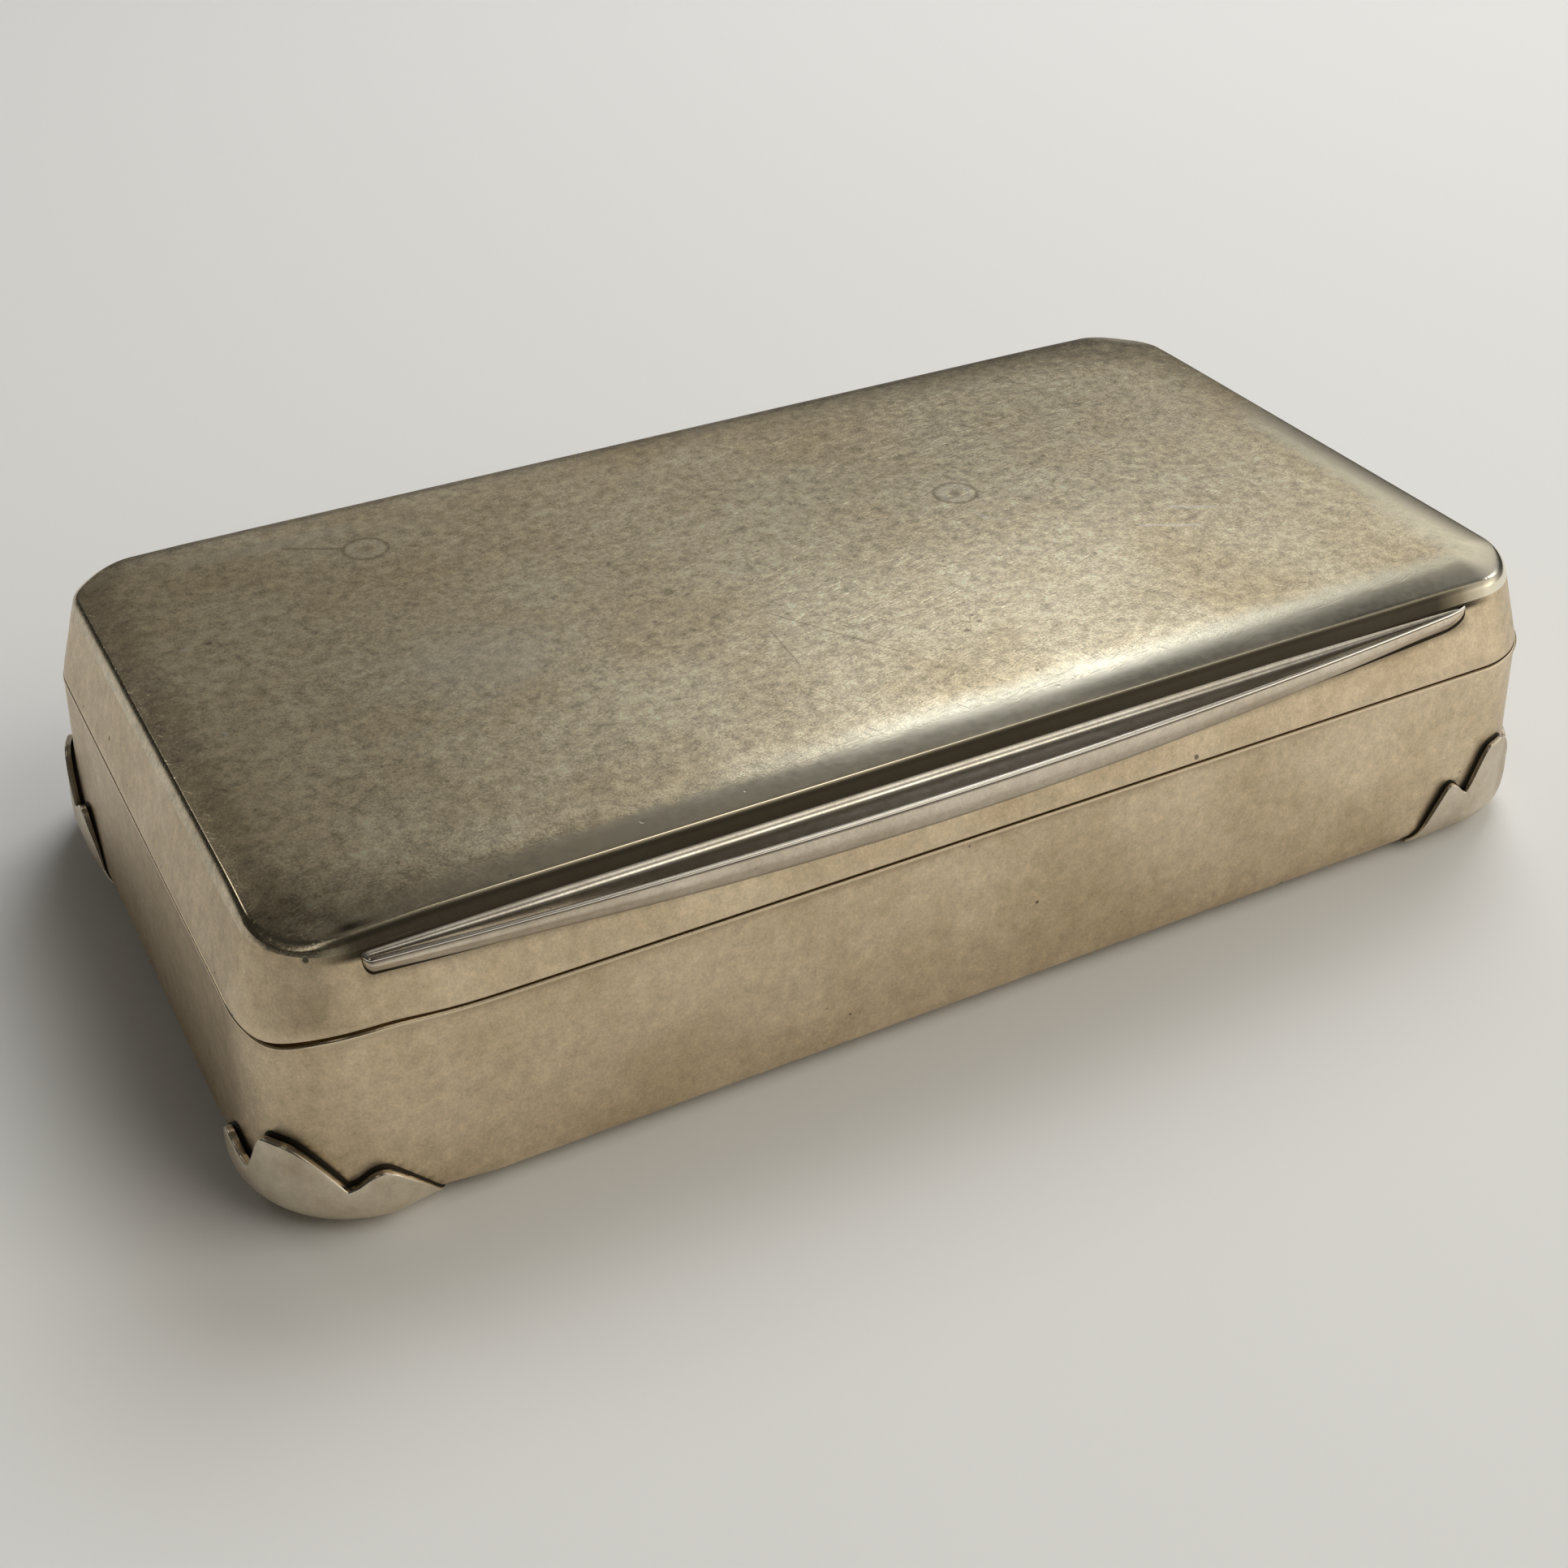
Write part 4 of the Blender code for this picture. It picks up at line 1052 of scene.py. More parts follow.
def lid_top_profile(offset, wear):
    """(outset, height) points of the lid top's skin from its lower rim, over the rounded
    shoulder and the crease above it, to the crown; wear rounds the crease away"""
    slope = atan(PILLOW_DROP * PILLOW_POWER / PILLOW_WIDTH + BORDER_FALL * BORDER_POWER / BORDER_WIDTH)
    turn_in = pi / 2 - slope
    crease = CREASE_RADIUS + (CREASE_WORN_RADIUS - CREASE_RADIUS) * wear
    turn_up = CREASE_ANGLE * (1 - wear) + CREASE_WORN_ANGLE * wear
    shoulder = pillow(0.0) - crease * (sin(turn_in) - sin(turn_up)) - TOP_ARRIS_RADIUS * sin(turn_up)
    centre = lid_outset(shoulder) - TOP_ARRIS_RADIUS / cos(LEAN_ANGLE)
    x, height = arc(centre, shoulder, TOP_ARRIS_RADIUS - crease, [turn_up])[0]
    start = x + crease * cos(turn_in)
    points = [(lid_outset(JOIN_LEVEL) + offset / cos(LEAN_ANGLE), JOIN_LEVEL)]
    turns = spaced(LEAN_ANGLE, turn_up, SHOULDER_STEPS)[:-1]
    points += arc(centre, shoulder, TOP_ARRIS_RADIUS + offset, turns)
    turns = spaced(turn_up, turn_in, CREASE_STEPS)
    points += arc(x, height, max(crease + offset, LEAST_CREASE), turns)
    for inset in spaced(0.0, PILLOW_WIDTH, PILLOW_STEPS)[1:]:
        points.append((start - inset, pillow(inset) + offset))
    inward = HALF_WIDTH + start - PILLOW_WIDTH
    for share in spaced(0.0, CROWN_REACH, CROWN_STEPS)[1:]:
        lift = share * share * (3 - 2 * share)
        points.append((start - PILLOW_WIDTH - inward * share, TOP_LEVEL - CROWN_RISE * (1 - lift) + offset))
    return points, start


# Marks of wear on the top, and painted shade along its left and back edges, (start, end, width) in
# mm in plan, with a strength that is above 0 where bright silver shows and below 0 where it is dark
STROKES_AND_EDGE_SHADE = (
    ((-28.8, 17.7), (-25.5, 15.9), 0.16, -0.5), ((-4.7, -5.2), (0.1, -12.8), 0.10, -0.45),
    ((-5.7, -6.9), (-6.0, -11.1), 0.10, -0.4), ((-21.4, 14.1), (-20.8, 13.8), 0.18, -0.5),
    ((4.9, -12.6), (5.0, -12.6), 0.25, -0.6), ((6.2, -12.0), (6.3, -12.0), 0.2, -0.6),
    ((-36.5, 8.1), (-36.4, 8.1), 0.3, -0.6), ((22.6, 5.3), (22.7, 5.3), 0.25, -0.6),
    ((13.75, 0.8), (14.0, -0.7), 0.3, 0.35), ((14.0, -0.7), (15.0, -1.75), 0.3, 0.35),
    ((-38.1, 8.1), (-37.9, 8.0), 0.25, 0.9), ((-38.5, -2.0), (-38.4, -2.2), 0.22, 0.9),
    ((25.8, -5.2), (28.7, -6.8), 0.22, 0.6), ((22.5, -6.5), (26.1, -8.4), 0.22, 0.5),
    ((-30.7, -8.2), (-22.8, -5.6), 0.16, 0.3), ((-29.5, -9.6), (-24.0, -7.9), 0.12, 0.25),
    ((-34.0, -4.4), (-27.6, -2.2), 0.12, 0.22), ((38.5, -11.9), (38.4, -18.3), 1.2, 0.35),
    ((-23.5, -1.0), (-21.5, -2.0), 5.5, 0.30), ((-34.9, 18.9), (-24.6, 18.4), 1.3, 0.25),
    # The dark strokes along the left and back edges are painted shade
    ((-42.0, -18.0), (-42.0, 18.0), 3.2, -0.35), ((34.7, 18.6), (39.5, 17.0), 2.2, -0.25),
    ((-40.0, 22.0), (38.0, 22.0), 0.9, -0.45),
)
RINGS = (((-24.06, 15.11), 1.45), ((14.13, 3.34), 1.5))
RING_WIDTH = 0.22
RING_PALE = 0.3
RING_DARK = 0.42
# Where a ring's dark middle ends and how far the paler metal lies out, as shares of its radius
RING_MIDDLE = (0.12, 0.42, 1.0, 0.0)
RING_BETWEEN = 0.66
RING_BETWEEN_FADE = (0.05, 0.25, 1.0, 0.0)
# Noise of a mark's ragged edge (scale, detail), a stroke's gain and least width, and a mark's fade
STROKE_NOISE = (2.2, 4.0)
STROKE_RAGGED = (1.6, 0.2)
RING_NOISE = (1.3, 4.0)
MARK_FADE = (0.2, 1.0, 1.0, 0.0)
DARK_MARK = (0.16, 0.12, 0.075, 1.0)
BRIGHT_MARK = (0.97, 0.93, 0.80, 1.0)
TOP_FINISH = {
    "Silver": (0.93, 0.82, 0.605, 1.0), "Tarnish": (0.69, 0.565, 0.36, 1.0), "Tarnish Amount": 0.8,
    "Patch Size": 13.0, "Pits": 0.35, "Roughness": 0.22,
}
# Gain with the satin left and least value of what handling polishes away
SATIN_MARKS = {"Relief": (1.4, 0.2), "Mottle": (1.6, 0.5), "Scratches": (0.7, 0.1)}
POLISH_SMOOTHER = -0.06
POLISHED_SILVER = (0.88, 0.82, 0.68, 1.0)
RUBBED_HIGHLIGHT_SILVER = (0.97, 0.93, 0.75, 1.0)
# How far in from the arris the polish and the rubbed highlight reach, in mm, with their ragged edge's
# noise (scale per metre, detail) and size; both stop short of the painted shade
POLISH_EDGE = (1.5, 2.1, 1.0, 0.0)
RUBBED_HIGHLIGHT_EDGE = (2.2, 4.2, 1.0, 0.0)
RUBBED_HIGHLIGHT_SHARE = 0.85
EDGE_NOISE = (520.0, 5.0)
EDGE_RAGGED = 1.3
CLEAN_LIMIT = 0.7
CLEAN_GAIN = 1.4
# Handling: its slant across the top and where it starts, and where the rubbed highlight starts along it
HANDLED_SLANT = 0.35
HANDLED_EDGE = (6.0 * MM, 15.0 * MM)
RUBBED_HIGHLIGHT_START = (-24 * MM, 2 * MM)


def stroke_group():
    """Shader group for one mark: a ragged line between two points of the plan, in mm"""
    tree = bpy.data.node_groups.new("stroke_mark", "ShaderNodeTree")
    group_sockets(tree, "INPUT", "Vector", "Start", "End")
    group_sockets(tree, "INPUT", "Float", "Width")
    group_sockets(tree, "OUTPUT", "Float", "Mask")
    given = add(tree, "NodeGroupInput").outputs
    place = place_in_mm(tree, 0.0)
    line = vector_maths(tree, "SUBTRACT", given["End"], given["Start"])
    arm = vector_maths(tree, "SUBTRACT", place, given["Start"])
    along = vector_maths(tree, "DOT_PRODUCT", arm, line)
    share = maths(tree, "DIVIDE", along, vector_maths(tree, "DOT_PRODUCT", line, line), clamp=True)
    nearest = add(tree, "ShaderNodeVectorMath", {0: line, "Scale": share}, operation="SCALE").outputs[0]
    gap = vector_maths(tree, "DISTANCE", arm, nearest)
    reach = maths(tree, "MULTIPLY_ADD", noise(tree, place, *STROKE_NOISE), *STROKE_RAGGED)
    reach = maths(tree, "MULTIPLY", given["Width"], reach)
    add(tree, "NodeGroupOutput", {"Mask": ramp(tree, maths(tree, "DIVIDE", gap, reach), *MARK_FADE)})
    return tree


def ring_group():
    """Shader group for a ring stain: a dark outline and a dark middle, with paler metal between"""
    tree = bpy.data.node_groups.new("ring_mark", "ShaderNodeTree")
    group_sockets(tree, "INPUT", "Vector", "Centre")
    group_sockets(tree, "INPUT", "Float", "Radius", "Width")
    group_sockets(tree, "OUTPUT", "Float", "Dark", "Pale")
    given = add(tree, "NodeGroupInput").outputs
    place = place_in_mm(tree, 0.0)
    ragged = maths(tree, "SUBTRACT", noise(tree, place, *RING_NOISE), 0.5)
    gap = vector_maths(tree, "DISTANCE", place, given["Centre"])
    gap = maths(tree, "MULTIPLY_ADD", ragged, given["Width"], gap)
    away = maths(tree, "DIVIDE", maths(tree, "SUBTRACT", gap, given["Radius"]), given["Width"])
    rim = ramp(tree, maths(tree, "ABSOLUTE", away), *MARK_FADE)
    share = maths(tree, "DIVIDE", gap, given["Radius"])
    middle = ramp(tree, share, *RING_MIDDLE)
    pale = maths(tree, "ABSOLUTE", maths(tree, "SUBTRACT", share, RING_BETWEEN))
    pale = ramp(tree, pale, *RING_BETWEEN_FADE)
    add(tree, "NodeGroupOutput", {"Dark": maths(tree, "MAXIMUM", rim, middle), "Pale": pale})
    return tree


STROKE_MARK = stroke_group()
RING_MARK = ring_group()


def top_material():
    """The lid top's silver, polished where held, with a rubbed and painted highlight, painted edge shade, and
    its marks of wear
    """
    material = silver_material("lid_top_silver", TOP_FINISH)
    tree = material.node_tree
    shader = tree.nodes["Principled BSDF"].inputs
    place = add(tree, "ShaderNodeTexCoord").outputs["Object"]
    ragged = maths(tree, "SUBTRACT", noise(tree, place, *EDGE_NOISE), 0.5)
    inset = maths(tree, "MULTIPLY_ADD", ragged, EDGE_RAGGED, attribute(tree, "inset"))

    # The border is polished at the front and right, where the lid is held, and dull elsewhere
    spot = add(tree, "ShaderNodeSeparateXYZ", {0: place}).outputs
    handled = maths(tree, "SUBTRACT", maths(tree, "MULTIPLY", spot["X"], HANDLED_SLANT), spot["Y"])
    handled = ramp(tree, handled, *HANDLED_EDGE)
    polish = maths(tree, "MULTIPLY", ramp(tree, inset, *POLISH_EDGE), handled)
    clean = maths(tree, "SUBTRACT", CLEAN_LIMIT, attribute(tree, "dirt"), clamp=True)
    # Rubbed silver near the front and right of the border, brightened as a painted highlight
    rubbed_highlight = maths(tree, "MULTIPLY", ramp(tree, inset, *RUBBED_HIGHLIGHT_EDGE), handled)
    rubbed_highlight = maths(tree, "MULTIPLY", rubbed_highlight, ramp(tree, spot["X"], *RUBBED_HIGHLIGHT_START))
    rubbed_highlight = maths(tree, "MULTIPLY", rubbed_highlight, maths(tree, "MULTIPLY", clean, CLEAN_GAIN, clamp=True))
    satin = maths(tree, "SUBTRACT", 1.0, polish)
    surface = next(node for node in tree.nodes if node.type == "GROUP")
    for socket, (gain, least) in SATIN_MARKS.items():
        tree.links.new(maths(tree, "MULTIPLY_ADD", satin, gain, least), surface.inputs[socket])
    rough = maths(tree, "MULTIPLY_ADD", polish, POLISH_SMOOTHER, shader["Roughness"].links[0].from_socket)
    tree.links.new(rough, shader["Roughness"])
    plain = shader["Base Color"].links[0].from_socket
    colour = blend(tree, maths(tree, "MULTIPLY", rubbed_highlight, RUBBED_HIGHLIGHT_SHARE), plain, RUBBED_HIGHLIGHT_SILVER)
    colour = blend(tree, maths(tree, "MULTIPLY", polish, clean), colour, POLISHED_SILVER)

    marks = []
    for start, end, width, strength in STROKES_AND_EDGE_SHADE:
        values = {"Start": (*start, 0.0), "End": (*end, 0.0), "Width": width}
        mark = add(tree, "ShaderNodeGroup", values, node_tree=STROKE_MARK).outputs
        marks.append((mark["Mask"], abs(strength), BRIGHT_MARK if strength > 0 else DARK_MARK))
    for centre, radius in RINGS:
        values = {"Centre": (*centre, 0.0), "Radius": radius, "Width": RING_WIDTH}
        mark = add(tree, "ShaderNodeGroup", values, node_tree=RING_MARK).outputs
        marks += [(mark["Pale"], RING_PALE, BRIGHT_MARK), (mark["Dark"], RING_DARK, DARK_MARK)]
    for mask, strength, tint in marks:
        colour = blend(tree, maths(tree, "MULTIPLY", mask, strength), colour, tint)
    tree.links.new(blend(tree, attribute(tree, "inside"), colour, plain), shader["Base Color"])
    return material


# Wear of the crease, which the corners have lost; a painted highlight of partly rubbed silver runs along it
# where it's left
quarter = OUTLINE_STEPS + SIDE_STEPS
stations = range(4 * quarter)
turned = [min(k % quarter, OUTLINE_STEPS) / OUTLINE_STEPS for k in stations]
wears = [abs(sin(pi * share)) ** CREASE_WORN_POWER for share in turned]
arris_start = lid_top_profile(0.0, 0.0)[1]
skins = []
for offset in (0.0, -LID_GAUGE):
    profiles = [lid_top_profile(offset, wear)[0] for wear in wears]
    skins.append([[outline(*profiles[k][row])[k] for k in stations] for row in range(len(profiles[0]))])
lid_top = loft("lid_top_silver", skins[0][::-1] + skins[1], top_material())
top_places = vertex_places(lid_top)
top_inset = (arris_start - plan_outset(top_places)) / MM
above_rim = rise(top_places[:, 2], JOIN_LEVEL, JOIN_LEVEL + CORNER_DROOP_START)
to_corner = np.hypot(*(corner_reach(top_places) - (CORNER_RADIUS + arris_start) / sqrt(2)).T)
corner_wear = np.exp(-(to_corner / CORNER_DROOP_REACH) ** 2)
for side_x, side_y, droop in CORNER_DROOP:
    top_places[:, 2] -= droop * MM * corner_wear * above_rim * in_corner(top_places, side_x, side_y)
move_vertices(lid_top, top_places)
top_inside = np.arange(len(top_places)) >= len(skins[0]) * len(stations)
# The worn mask along the crease is a painted highlight, partly rubbed silver
crease_highlight = CREASE_HIGHLIGHT_LEFT + sum(gain * rise(top_places[:, 0], *span) for gain, *span in CREASE_HIGHLIGHT_CHANGES)
# The lid top is painted dark over the thumbpiece as shade
paint(lid_top, inset=top_inset, inside=top_inside, dirt=thumb_dirt(top_places) * ~top_inside,
      worn=crease_highlight * np.exp(-((top_inset + CREASE_HIGHLIGHT[0]) / CREASE_HIGHLIGHT[1]) ** 2))
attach(lid_top, "lid")
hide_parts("lid_top")


# Thumbpiece: a crescent ledge of solid drawn silver, soldered along the lid's front wall.
# It has a hollow upper side, a sharp crest, a plain face and an undercut below.
THUMB_COVE = 0.72 * MM
THUMB_COVE_MOST = 0.45
THUMB_COVE_STEPS = 8
# Painted shade in the cove: its darkest value and how fast it fades row by row
THUMB_COVE_SHADE = (0.9, 0.35)
THUMB_SHELF_STEPS = 6
THUMB_SHELF_POWER = 1.8
THUMB_LEFT_REACH = 0.8 * MM
THUMB_RIGHT_REACH = 0.35 * MM
THUMB_BULGE = 1.72 * MM
THUMB_EDGE = 0.12 * MM
THUMB_EDGE_STEPS = 3
THUMB_BELLY = 0.8 * MM
THUMB_BELLY_MOST = 0.5
THUMB_BELLY_STEPS = 5
# Painted shade on the face's rounded lower edge: its start and its gain row by row
THUMB_BELLY_SHADE = (0.16, 0.2)
THUMB_TIP_ROUNDS = (0.5 * MM, 1.8 * MM)
THUMB_TIP_LEAST = 0.3
THUMB_TIP_STEPS = 10
THUMB_LONG_STEPS = 140
THUMB_FACE_BULGE = 0.14 * MM
# How far the face's top and bottom stand back from the crest, and where its top row starts
THUMB_FACE_BACK = (0.09 * MM, 0.12 * MM)
THUMB_FACE_START = 0.05 * MM
# Rows down the face, (share, painted shade), with the painted dark line that lies under the crest
THUMB_FACE_ROWS = ((0.0, 0.75), (0.07, 0.7), (0.15, 0.0), (0.3, 0.0), (0.5, 0.0), (0.7, 0.0),
                   (0.85, 0.03), (1.0, 0.1))
THUMB_SINK = 0.25 * MM
THUMB_SOLDER = 0.22 * MM
# Rows of the solder under the thumbpiece, painted dark as shade: distance off the lid's wall, drop
# below the face's lower end, and the drop at which that wall is taken
THUMB_SOLDER_ROWS = ((0.05 * MM, 0.02 * MM, 0.0), (0.015 * MM, THUMB_SOLDER, THUMB_SOLDER),
                     (-THUMB_SINK, THUMB_SOLDER, THUMB_SOLDER))
# How far in from its ends the thumbpiece is painted dark as shade
THUMB_SHADED_END = 0.02 * MM


def thumb_section(x):
    """Section of the thumbpiece at x: cove, dished shelf, crest, bulging face and undercut.
    Each row is (outset, height, worn, painted shade, face)."""
    share = x / THUMB_HALF
    tip = THUMB_TIP_ROUNDS[int(x > 0)]
    into_tip = min(max(abs(x) - (THUMB_HALF - tip), 0.0) / tip, 1.0)
    roundness = THUMB_TIP_LEAST + (1 - THUMB_TIP_LEAST) * sqrt(1 - into_tip ** 2)
    reach = THUMB_LEFT_REACH + (THUMB_RIGHT_REACH - THUMB_LEFT_REACH) * (1 + share) / 2
    reach = (reach + THUMB_BULGE * max(1 - share * share, 0.0)) * roundness
    shelf = SEAM_HEIGHT + THUMB_SHELF
    crest = shelf + THUMB_CREST
    low = crest - thumb_face(share) * roundness
    front = lid_outset(crest) + reach

    # The cove against the lid, painted dark as shade, the dished shelf and the rounded crest
    cove = min(THUMB_COVE, reach * THUMB_COVE_MOST)
    wall = lid_outset(shelf + cove)
    rows = [(wall - THUMB_SINK, shelf + cove * 1.02, 0.0, 0.6, 0.0)]
    for k, turn in enumerate(spaced(0.0, pi / 2, THUMB_COVE_STEPS)):
        dirt = max(THUMB_COVE_SHADE[0] - THUMB_COVE_SHADE[1] * k, 0.0)
        rows.append((wall + cove * (1 - cos(turn)), shelf + cove * (1 - sin(turn)), 0.0, dirt, 0.0))
    start = rows[-1][0]
    for t in spaced(0.0, 1.0, THUMB_SHELF_STEPS)[1:]:
        outset = start + (front - THUMB_EDGE - start) * t
        rows.append((outset, shelf + THUMB_CREST * t ** THUMB_SHELF_POWER, 0.0, 0.0, 0.0))
    turns = spaced(pi / 2, 0.0, THUMB_EDGE_STEPS)[1:]
    for point in arc(front - THUMB_EDGE, crest - THUMB_EDGE, THUMB_EDGE, turns):
        rows.append((*point, 1.0, 0.0, 0.0))

    # The face, its rounded lower edge with painted shade, and the undercut with its solder painted dark as
    # shade
    edge = min(THUMB_BELLY, reach * THUMB_BELLY_MOST)
    top = crest - THUMB_EDGE - THUMB_FACE_START
    back, bottom = (front - gap for gap in THUMB_FACE_BACK)
    for t, dirt in THUMB_FACE_ROWS:
        bulge = THUMB_FACE_BULGE * sin(pi * t) * roundness
        rows.append((back + (bottom - back) * t + bulge, top + (low + edge - top) * t, 0.0, dirt, 1.0))
    turns = spaced(0.0, -pi / 2, THUMB_BELLY_STEPS)[1:]
    for k, point in enumerate(arc(bottom - edge, low + edge, edge, turns)):
        rows.append((*point, 0.0, THUMB_BELLY_SHADE[0] + THUMB_BELLY_SHADE[1] * k, 1.0))
    for outset, drop, level in THUMB_SOLDER_ROWS:
        rows.append((lid_outset(low - level) + outset, low - drop, 0.0, 1.0, 1.0))
    return rows


THUMB_FINISH = {
    "Silver": (0.90, 0.85, 0.76, 1.0), "Tarnish": (0.72, 0.64, 0.52, 1.0), "Tarnish Amount": 0.7,
    "Patch Size": 6.0, "Mottle": 0.6, "Relief": 0.5, "Pits": 0.3, "Scratches": 0.0, "Roughness": 0.17,
}
# The face is less polished than the shelf and the crest
THUMB_FACE_TINT = (0.86, 0.81, 0.75, 1.0)
THUMB_FACE_TONE = 0.8
THUMB_FACE_ROUGHER = 0.24
thumb_silver = silver_material("thumb_silver", THUMB_FINISH)
thumb_tree = thumb_silver.node_tree
thumb_shader = thumb_tree.nodes["Principled BSDF"].inputs
face = attribute(thumb_tree, "face")
rough = thumb_shader["Roughness"].links[0].from_socket
rough = maths(thumb_tree, "MULTIPLY_ADD", face, THUMB_FACE_ROUGHER, rough)
thumb_tree.links.new(rough, thumb_shader["Roughness"])
colour = thumb_shader["Base Color"].links[0].from_socket
tone = maths(thumb_tree, "MULTIPLY", face, THUMB_FACE_TONE)
thumb_tree.links.new(blend(thumb_tree, tone, colour, THUMB_FACE_TINT, "MULTIPLY"), thumb_shader["Base Color"])

thumb_stations = spaced(THUMB_TIP_ROUNDS[0] - THUMB_HALF, THUMB_HALF - THUMB_TIP_ROUNDS[1], THUMB_LONG_STEPS)
for side, tip in zip((-1, 1), THUMB_TIP_ROUNDS):
    turns = spaced(0.0, pi / 2, THUMB_TIP_STEPS)[1:]
    thumb_stations += [side * (THUMB_HALF - tip + tip * sin(turn)) for turn in turns]
thumb_loops = []
for x in sorted(thumb_stations):
    section = thumb_section(x)
    thumb_loops.append([Vector((x + THUMB_SHIFT, -HALF_WIDTH - row[0], row[1])) for row in section])
thumb_painted = dict(zip(("worn", "dirt", "face"), list(zip(*thumb_section(0.0)))[2:]))
thumbpiece = loft("thumbpiece_silver", thumb_loops, thumb_silver, 50.0, thumb_painted)
paint(thumbpiece)
# The thumbpiece's ends are painted dark as shade where they meet the lid
thumb_shaded_ends = np.abs(vertex_places(thumbpiece)[:, 0] - THUMB_SHIFT) > THUMB_HALF - THUMB_SHADED_END
for vertex in np.flatnonzero(thumb_shaded_ends):
    thumbpiece.data.attributes["dirt"].data[vertex].value = 1.0
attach(thumbpiece, "lid")
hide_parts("thumbpiece")


# Hinge: two cove strips soldered along the back walls, a barrel of five tubes lying in
# them, soldered three to the box and two to the lid, a drawn wire pin, and domed plugs.
BARREL_RADIUS = 1.2 * MM
BORE_RADIUS = 0.63 * MM
TUBE_COUNT = 5
TUBE_GAP = 0.15 * MM
TUBE_PITCH = BARREL_LENGTH / TUBE_COUNT
TUBE_LENGTH = TUBE_PITCH - TUBE_GAP
TUBE_ROUND = 0.12 * MM
TUBE_STEPS = 16
TUBE_STEP_SHIFT = 0.03
TUBE_DIRT_SHARES = (0.8, 0.6)
TUBE_WORN_SHARE = 0.7
TUBE_DIRT_WIDTH = 0.35 * MM
TUBE_DIRT_TURN = (1.5, 2.4)
TUBE_WORN_TURN = (0.2, 1.1)
BEARER_INNER = 1.5 * MM
BEARER_OUTER = 2.05 * MM
BEARER_STEPS = 24
BEARER_LIP_STEPS = 6
BEARER_ROWS = 36
BEARER_SEAM = asin(0.07 * MM / BEARER_INNER)
BEARER_DIRT_WIDTH = 0.3 * MM
BEARER_DIRT_SHARE = 0.7
BEARER_WORN_TURN = 0.45
BEARER_WORN_SHARE = 0.6
BEARERS = {
    "body_hinge_bearer": ("box", -pi + BEARER_SEAM, radians(-50.0)),
    "lid_hinge_bearer": ("lid", pi - BEARER_SEAM, radians(65.0)),
}
TUBES = {
    "body_knuckles": ("box", 0, 3, ("body_knuckle_left", "body_knuckle_centre", "body_knuckle_right")),
    "lid_knuckles": ("lid", 1, 2, ("lid_knuckle_left", "lid_knuckle_right")),
}
PLUG_LENGTH = 0.9 * MM
# Rows of a plug from its neck to its dome, as shares of its radius and of its length
PLUG_ROWS = ((0.97, 0.0), (1.0, 0.05), (1.0, 0.335), (0.985, 0.525), (0.93, 0.696), (0.82, 0.829),
             (0.66, 0.924), (0.42, 0.981), (0.15, 1.0))
PLUG_WORN_FROM = 0.6
PLUG_WORN_SHARE = 0.5
PLUG_DIRT_WIDTH = 0.3 * MM
PLUG_DIRT_SHARE = 0.8
ROUND_STEPS = 48

HINGE_FINISH = {
    "Silver": (0.90, 0.83, 0.70, 1.0), "Tarnish": (0.68, 0.56, 0.38, 1.0), "Tarnish Amount": 0.8,
    "Patch Size": 5.0, "Mottle": 0.3, "Relief": 1.5, "Pits": 0.4, "Scratches": 0.6, "Roughness": 0.34,
}
hinge_silver = silver_material("hinge_silver", HINGE_FINISH)


def hinge_point(x, angle, radius):
    """Place round the hinge axis"""
    return HINGE_AXIS + Vector((x, radius * cos(angle), radius * sin(angle)))


def round_hinge(piece):
    """Angle and distance of a piece's vertices round the hinge axis"""
    across, up = (vertex_places(piece) - HINGE_AXIS)[:, 1:].T
    return np.arctan2(up, across), np.hypot(across, up)


def bearer_section(start, end):
    """(angle, radius) outline of a cove strip, with its open lip rounded"""
    turns = spaced(start, end, BEARER_STEPS)[:-1]
    middle = (BEARER_INNER + BEARER_OUTER) / 2
    half = (BEARER_OUTER - BEARER_INNER) / 2
    tilt = (1 if end > start else -1) * half / middle
    points = [(turn, BEARER_OUTER) for turn in turns]
    for swing in spaced(pi / 2, -pi / 2, BEARER_LIP_STEPS):
        points.append((end - tilt + tilt * cos(swing), middle + half * sin(swing)))
    return points + [(turn, BEARER_INNER) for turn in reversed(turns)]


for node, (body, start, end) in BEARERS.items():
    section = bearer_section(start, end)
    rows = [[hinge_point(BARREL_LENGTH * (share - 0.5), *point) for point in section]
            for share in np.linspace(0, 1, BEARER_ROWS)]
    bearer = loft(node + "_silver", rows, hinge_silver)
    turned, ring = round_hinge(bearer)
    bearer_dirt = 1 - rise(ring, BEARER_INNER, BEARER_INNER + BEARER_DIRT_WIDTH)
    paint(bearer, dirt=BEARER_DIRT_SHARE * bearer_dirt,
          worn=BEARER_WORN_SHARE * (1 - rise(np.abs(turned - end), 0.0, BEARER_WORN_TURN)))
    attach(bearer, body)
    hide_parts(node)


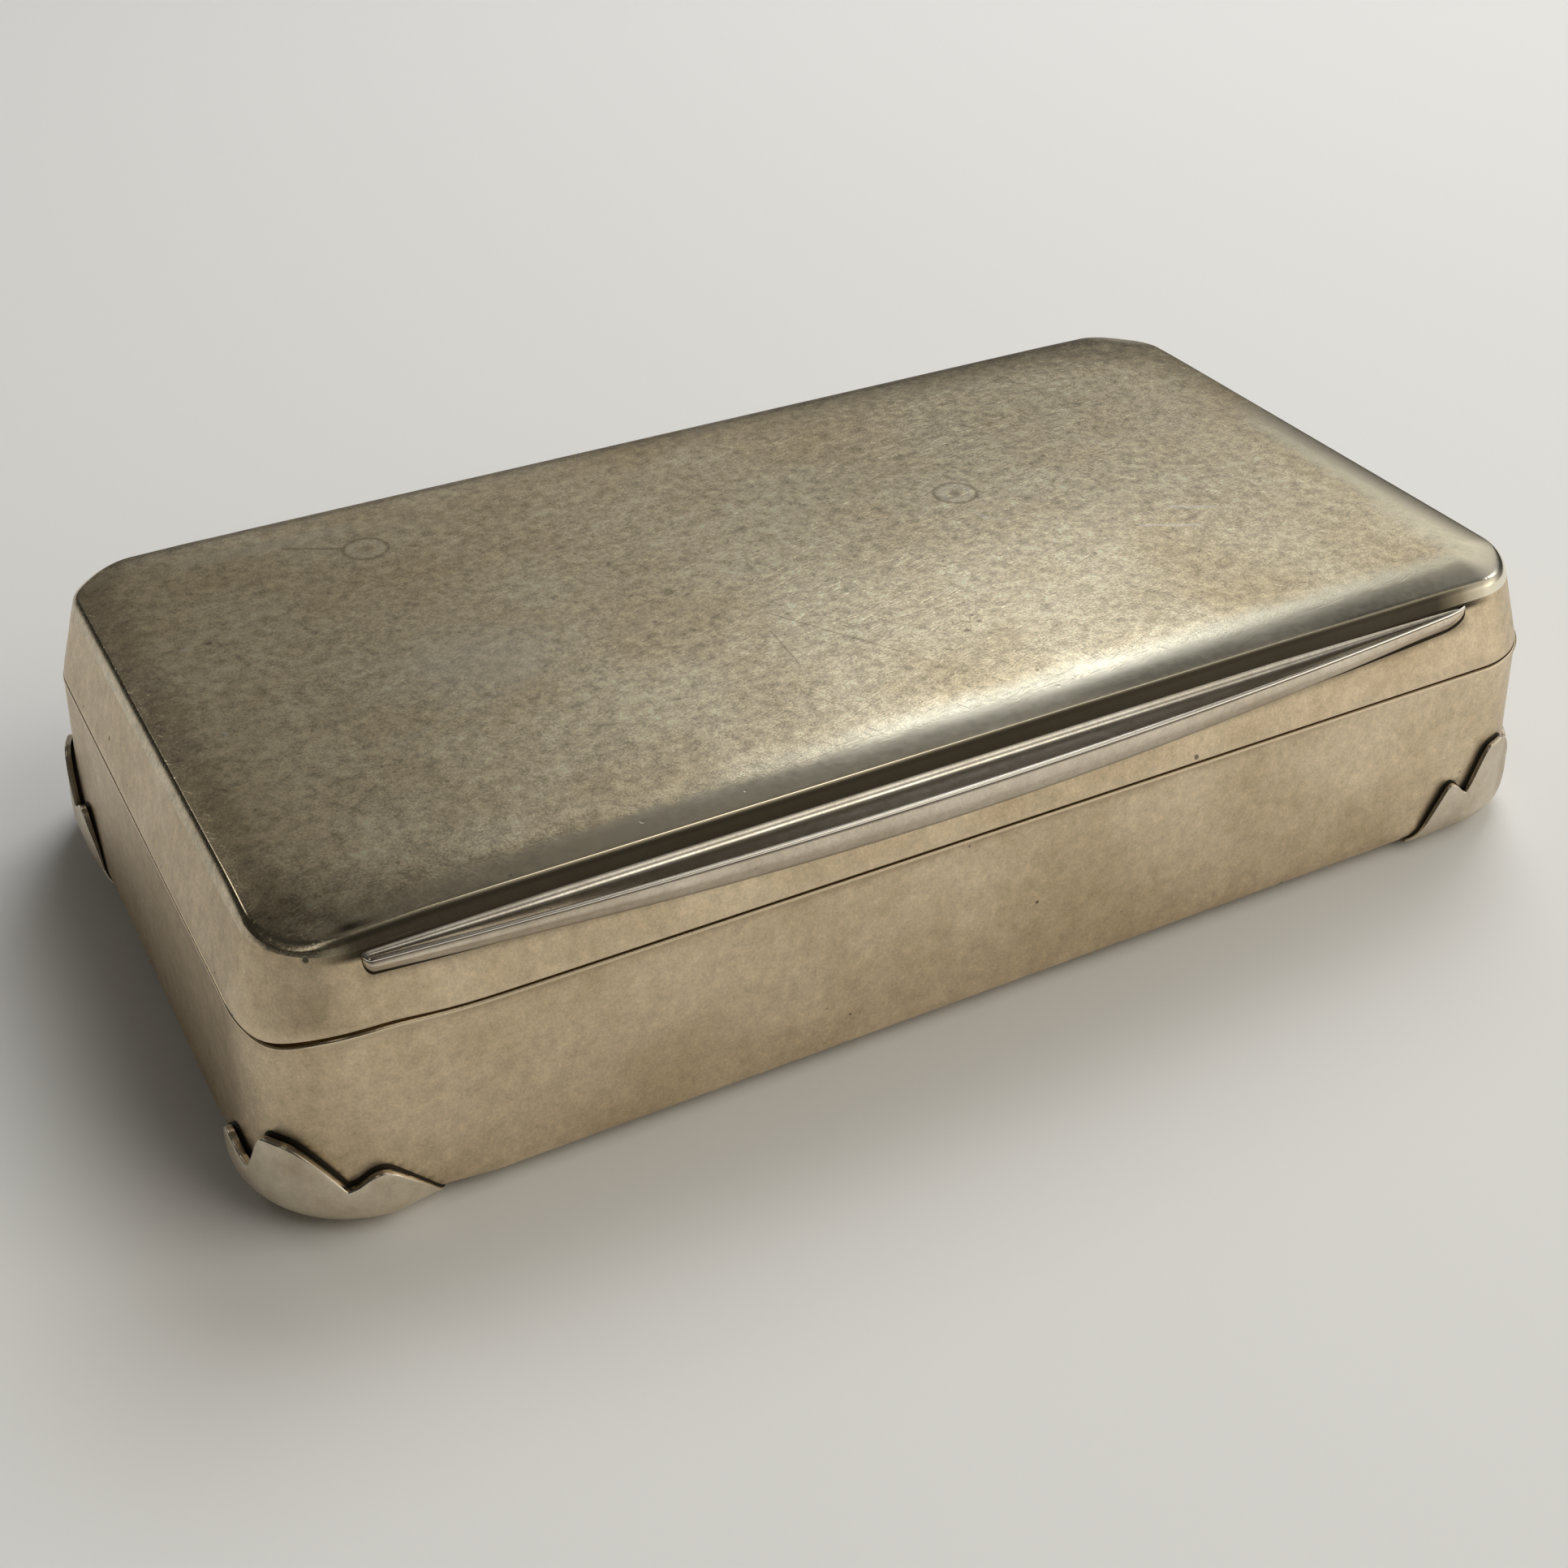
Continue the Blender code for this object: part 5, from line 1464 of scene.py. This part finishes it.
def tube_row_tree():
    """Geometry Nodes tree that turns a tube from its section and sets a row of them on the hinge"""
    tree = bpy.data.node_groups.new("hinge_tube_row", "GeometryNodeTree")
    group_sockets(tree, "INPUT", "Geometry", "Geometry")
    group_sockets(tree, "INPUT", "Float", "Radius", "Start", "Step", "Hinge Y", "Hinge Z")
    group_sockets(tree, "INPUT", "Int", "Count")
    group_sockets(tree, "INPUT", "Material", "Material")
    group_sockets(tree, "OUTPUT", "Geometry", "Geometry")
    given = add(tree, "NodeGroupInput").outputs
    circle = {"Resolution": ROUND_STEPS, "Radius": given["Radius"]}
    ring = add(tree, "GeometryNodeCurvePrimitiveCircle", circle).outputs[0]
    ring = add(tree, "GeometryNodeSetCurveNormal", {"Curve": ring}, mode="Z_UP").outputs[0]
    section = add(tree, "GeometryNodeMeshToCurve", {"Mesh": given["Geometry"]}).outputs[0]
    tube = add(tree, "GeometryNodeCurveToMesh", {"Curve": ring, "Profile Curve": section}).outputs[0]
    place = {"X": given["Start"], "Y": given["Hinge Y"], "Z": given["Hinge Z"]}
    first = add(tree, "ShaderNodeCombineXYZ", place).outputs[0]
    step = add(tree, "ShaderNodeCombineXYZ", {"X": given["Step"]}).outputs[0]
    line = {"Count": given["Count"], "Start Location": first, "Offset": step}
    points = add(tree, "GeometryNodeMeshLine", line).outputs[0]
    lying = {"Points": points, "Instance": tube, "Rotation": (0.0, pi / 2, 0.0)}
    close_tree(tree, add(tree, "GeometryNodeInstanceOnPoints", lying).outputs[0], given["Material"])
    return tree


tube_row = tube_row_tree()
half_tube = TUBE_LENGTH / 2
tube_wall = BARREL_RADIUS - BORE_RADIUS
# The tube's section: an outer line divided for the dirt and wear, with rounded ends, and a bore
outer = [half_tube * (2 * k / TUBE_STEPS - 1 + TUBE_STEP_SHIFT) for k in range(1, TUBE_STEPS)]
tube_section = [(0.0, height) for height in (-half_tube, *outer, half_tube)]
tube_section += [(-tube_wall, half_tube), (-tube_wall, -half_tube)]
tube_section = fillet(tube_section, {0: TUBE_ROUND, len(outer) + 1: TUBE_ROUND})
for name, (body, first, count, nodes) in TUBES.items():
    start = TUBE_PITCH * (first + 0.5) - BARREL_LENGTH / 2
    values = {"Radius": BARREL_RADIUS, "Start": start, "Step": TUBE_PITCH * 2, "Hinge Y": HINGE_AXIS.y,
              "Hinge Z": HINGE_AXIS.z, "Count": count, "Material": hinge_silver}
    tubes = grown(name + "_silver", closed_profile(tube_section), tube_row, values)
    smoothed(tubes)
    ends = np.abs((vertex_places(tubes)[:, 0] - start + TUBE_PITCH) % (TUBE_PITCH * 2) - TUBE_PITCH)
    turned = np.abs(round_hinge(tubes)[0])
    tube_dirt = TUBE_DIRT_SHARES[0] * rise(ends, half_tube - TUBE_DIRT_WIDTH, half_tube)
    tube_dirt += TUBE_DIRT_SHARES[1] * rise(turned, *TUBE_DIRT_TURN)
    paint(tubes, dirt=tube_dirt, worn=TUBE_WORN_SHARE * (1 - rise(turned, *TUBE_WORN_TURN)))
    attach(tubes, body)
    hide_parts(*nodes)

plug_start = BARREL_LENGTH / 2 + TUBE_GAP
for node, side in (("hinge_plug_left", -1), ("hinge_plug_right", 1)):
    rows = [[hinge_point(side * (plug_start + PLUG_LENGTH * along), turn, BARREL_RADIUS * share)
             for turn in spaced(0.0, 2 * pi, ROUND_STEPS)[:-1]] for share, along in PLUG_ROWS]
    plug = loft(node + "_silver", rows, hinge_silver)
    near_end = np.abs(vertex_places(plug)[:, 0]) - plug_start
    paint(plug, dirt=PLUG_DIRT_SHARE * (1 - rise(near_end, 0.0, PLUG_DIRT_WIDTH)),
          worn=PLUG_WORN_SHARE * rise(near_end, PLUG_LENGTH * PLUG_WORN_FROM, PLUG_LENGTH))
    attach(plug, "box")
    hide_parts(node)

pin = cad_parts["hinge_pin"]
pin.data.materials.clear()
pin.data.materials.append(hinge_silver)
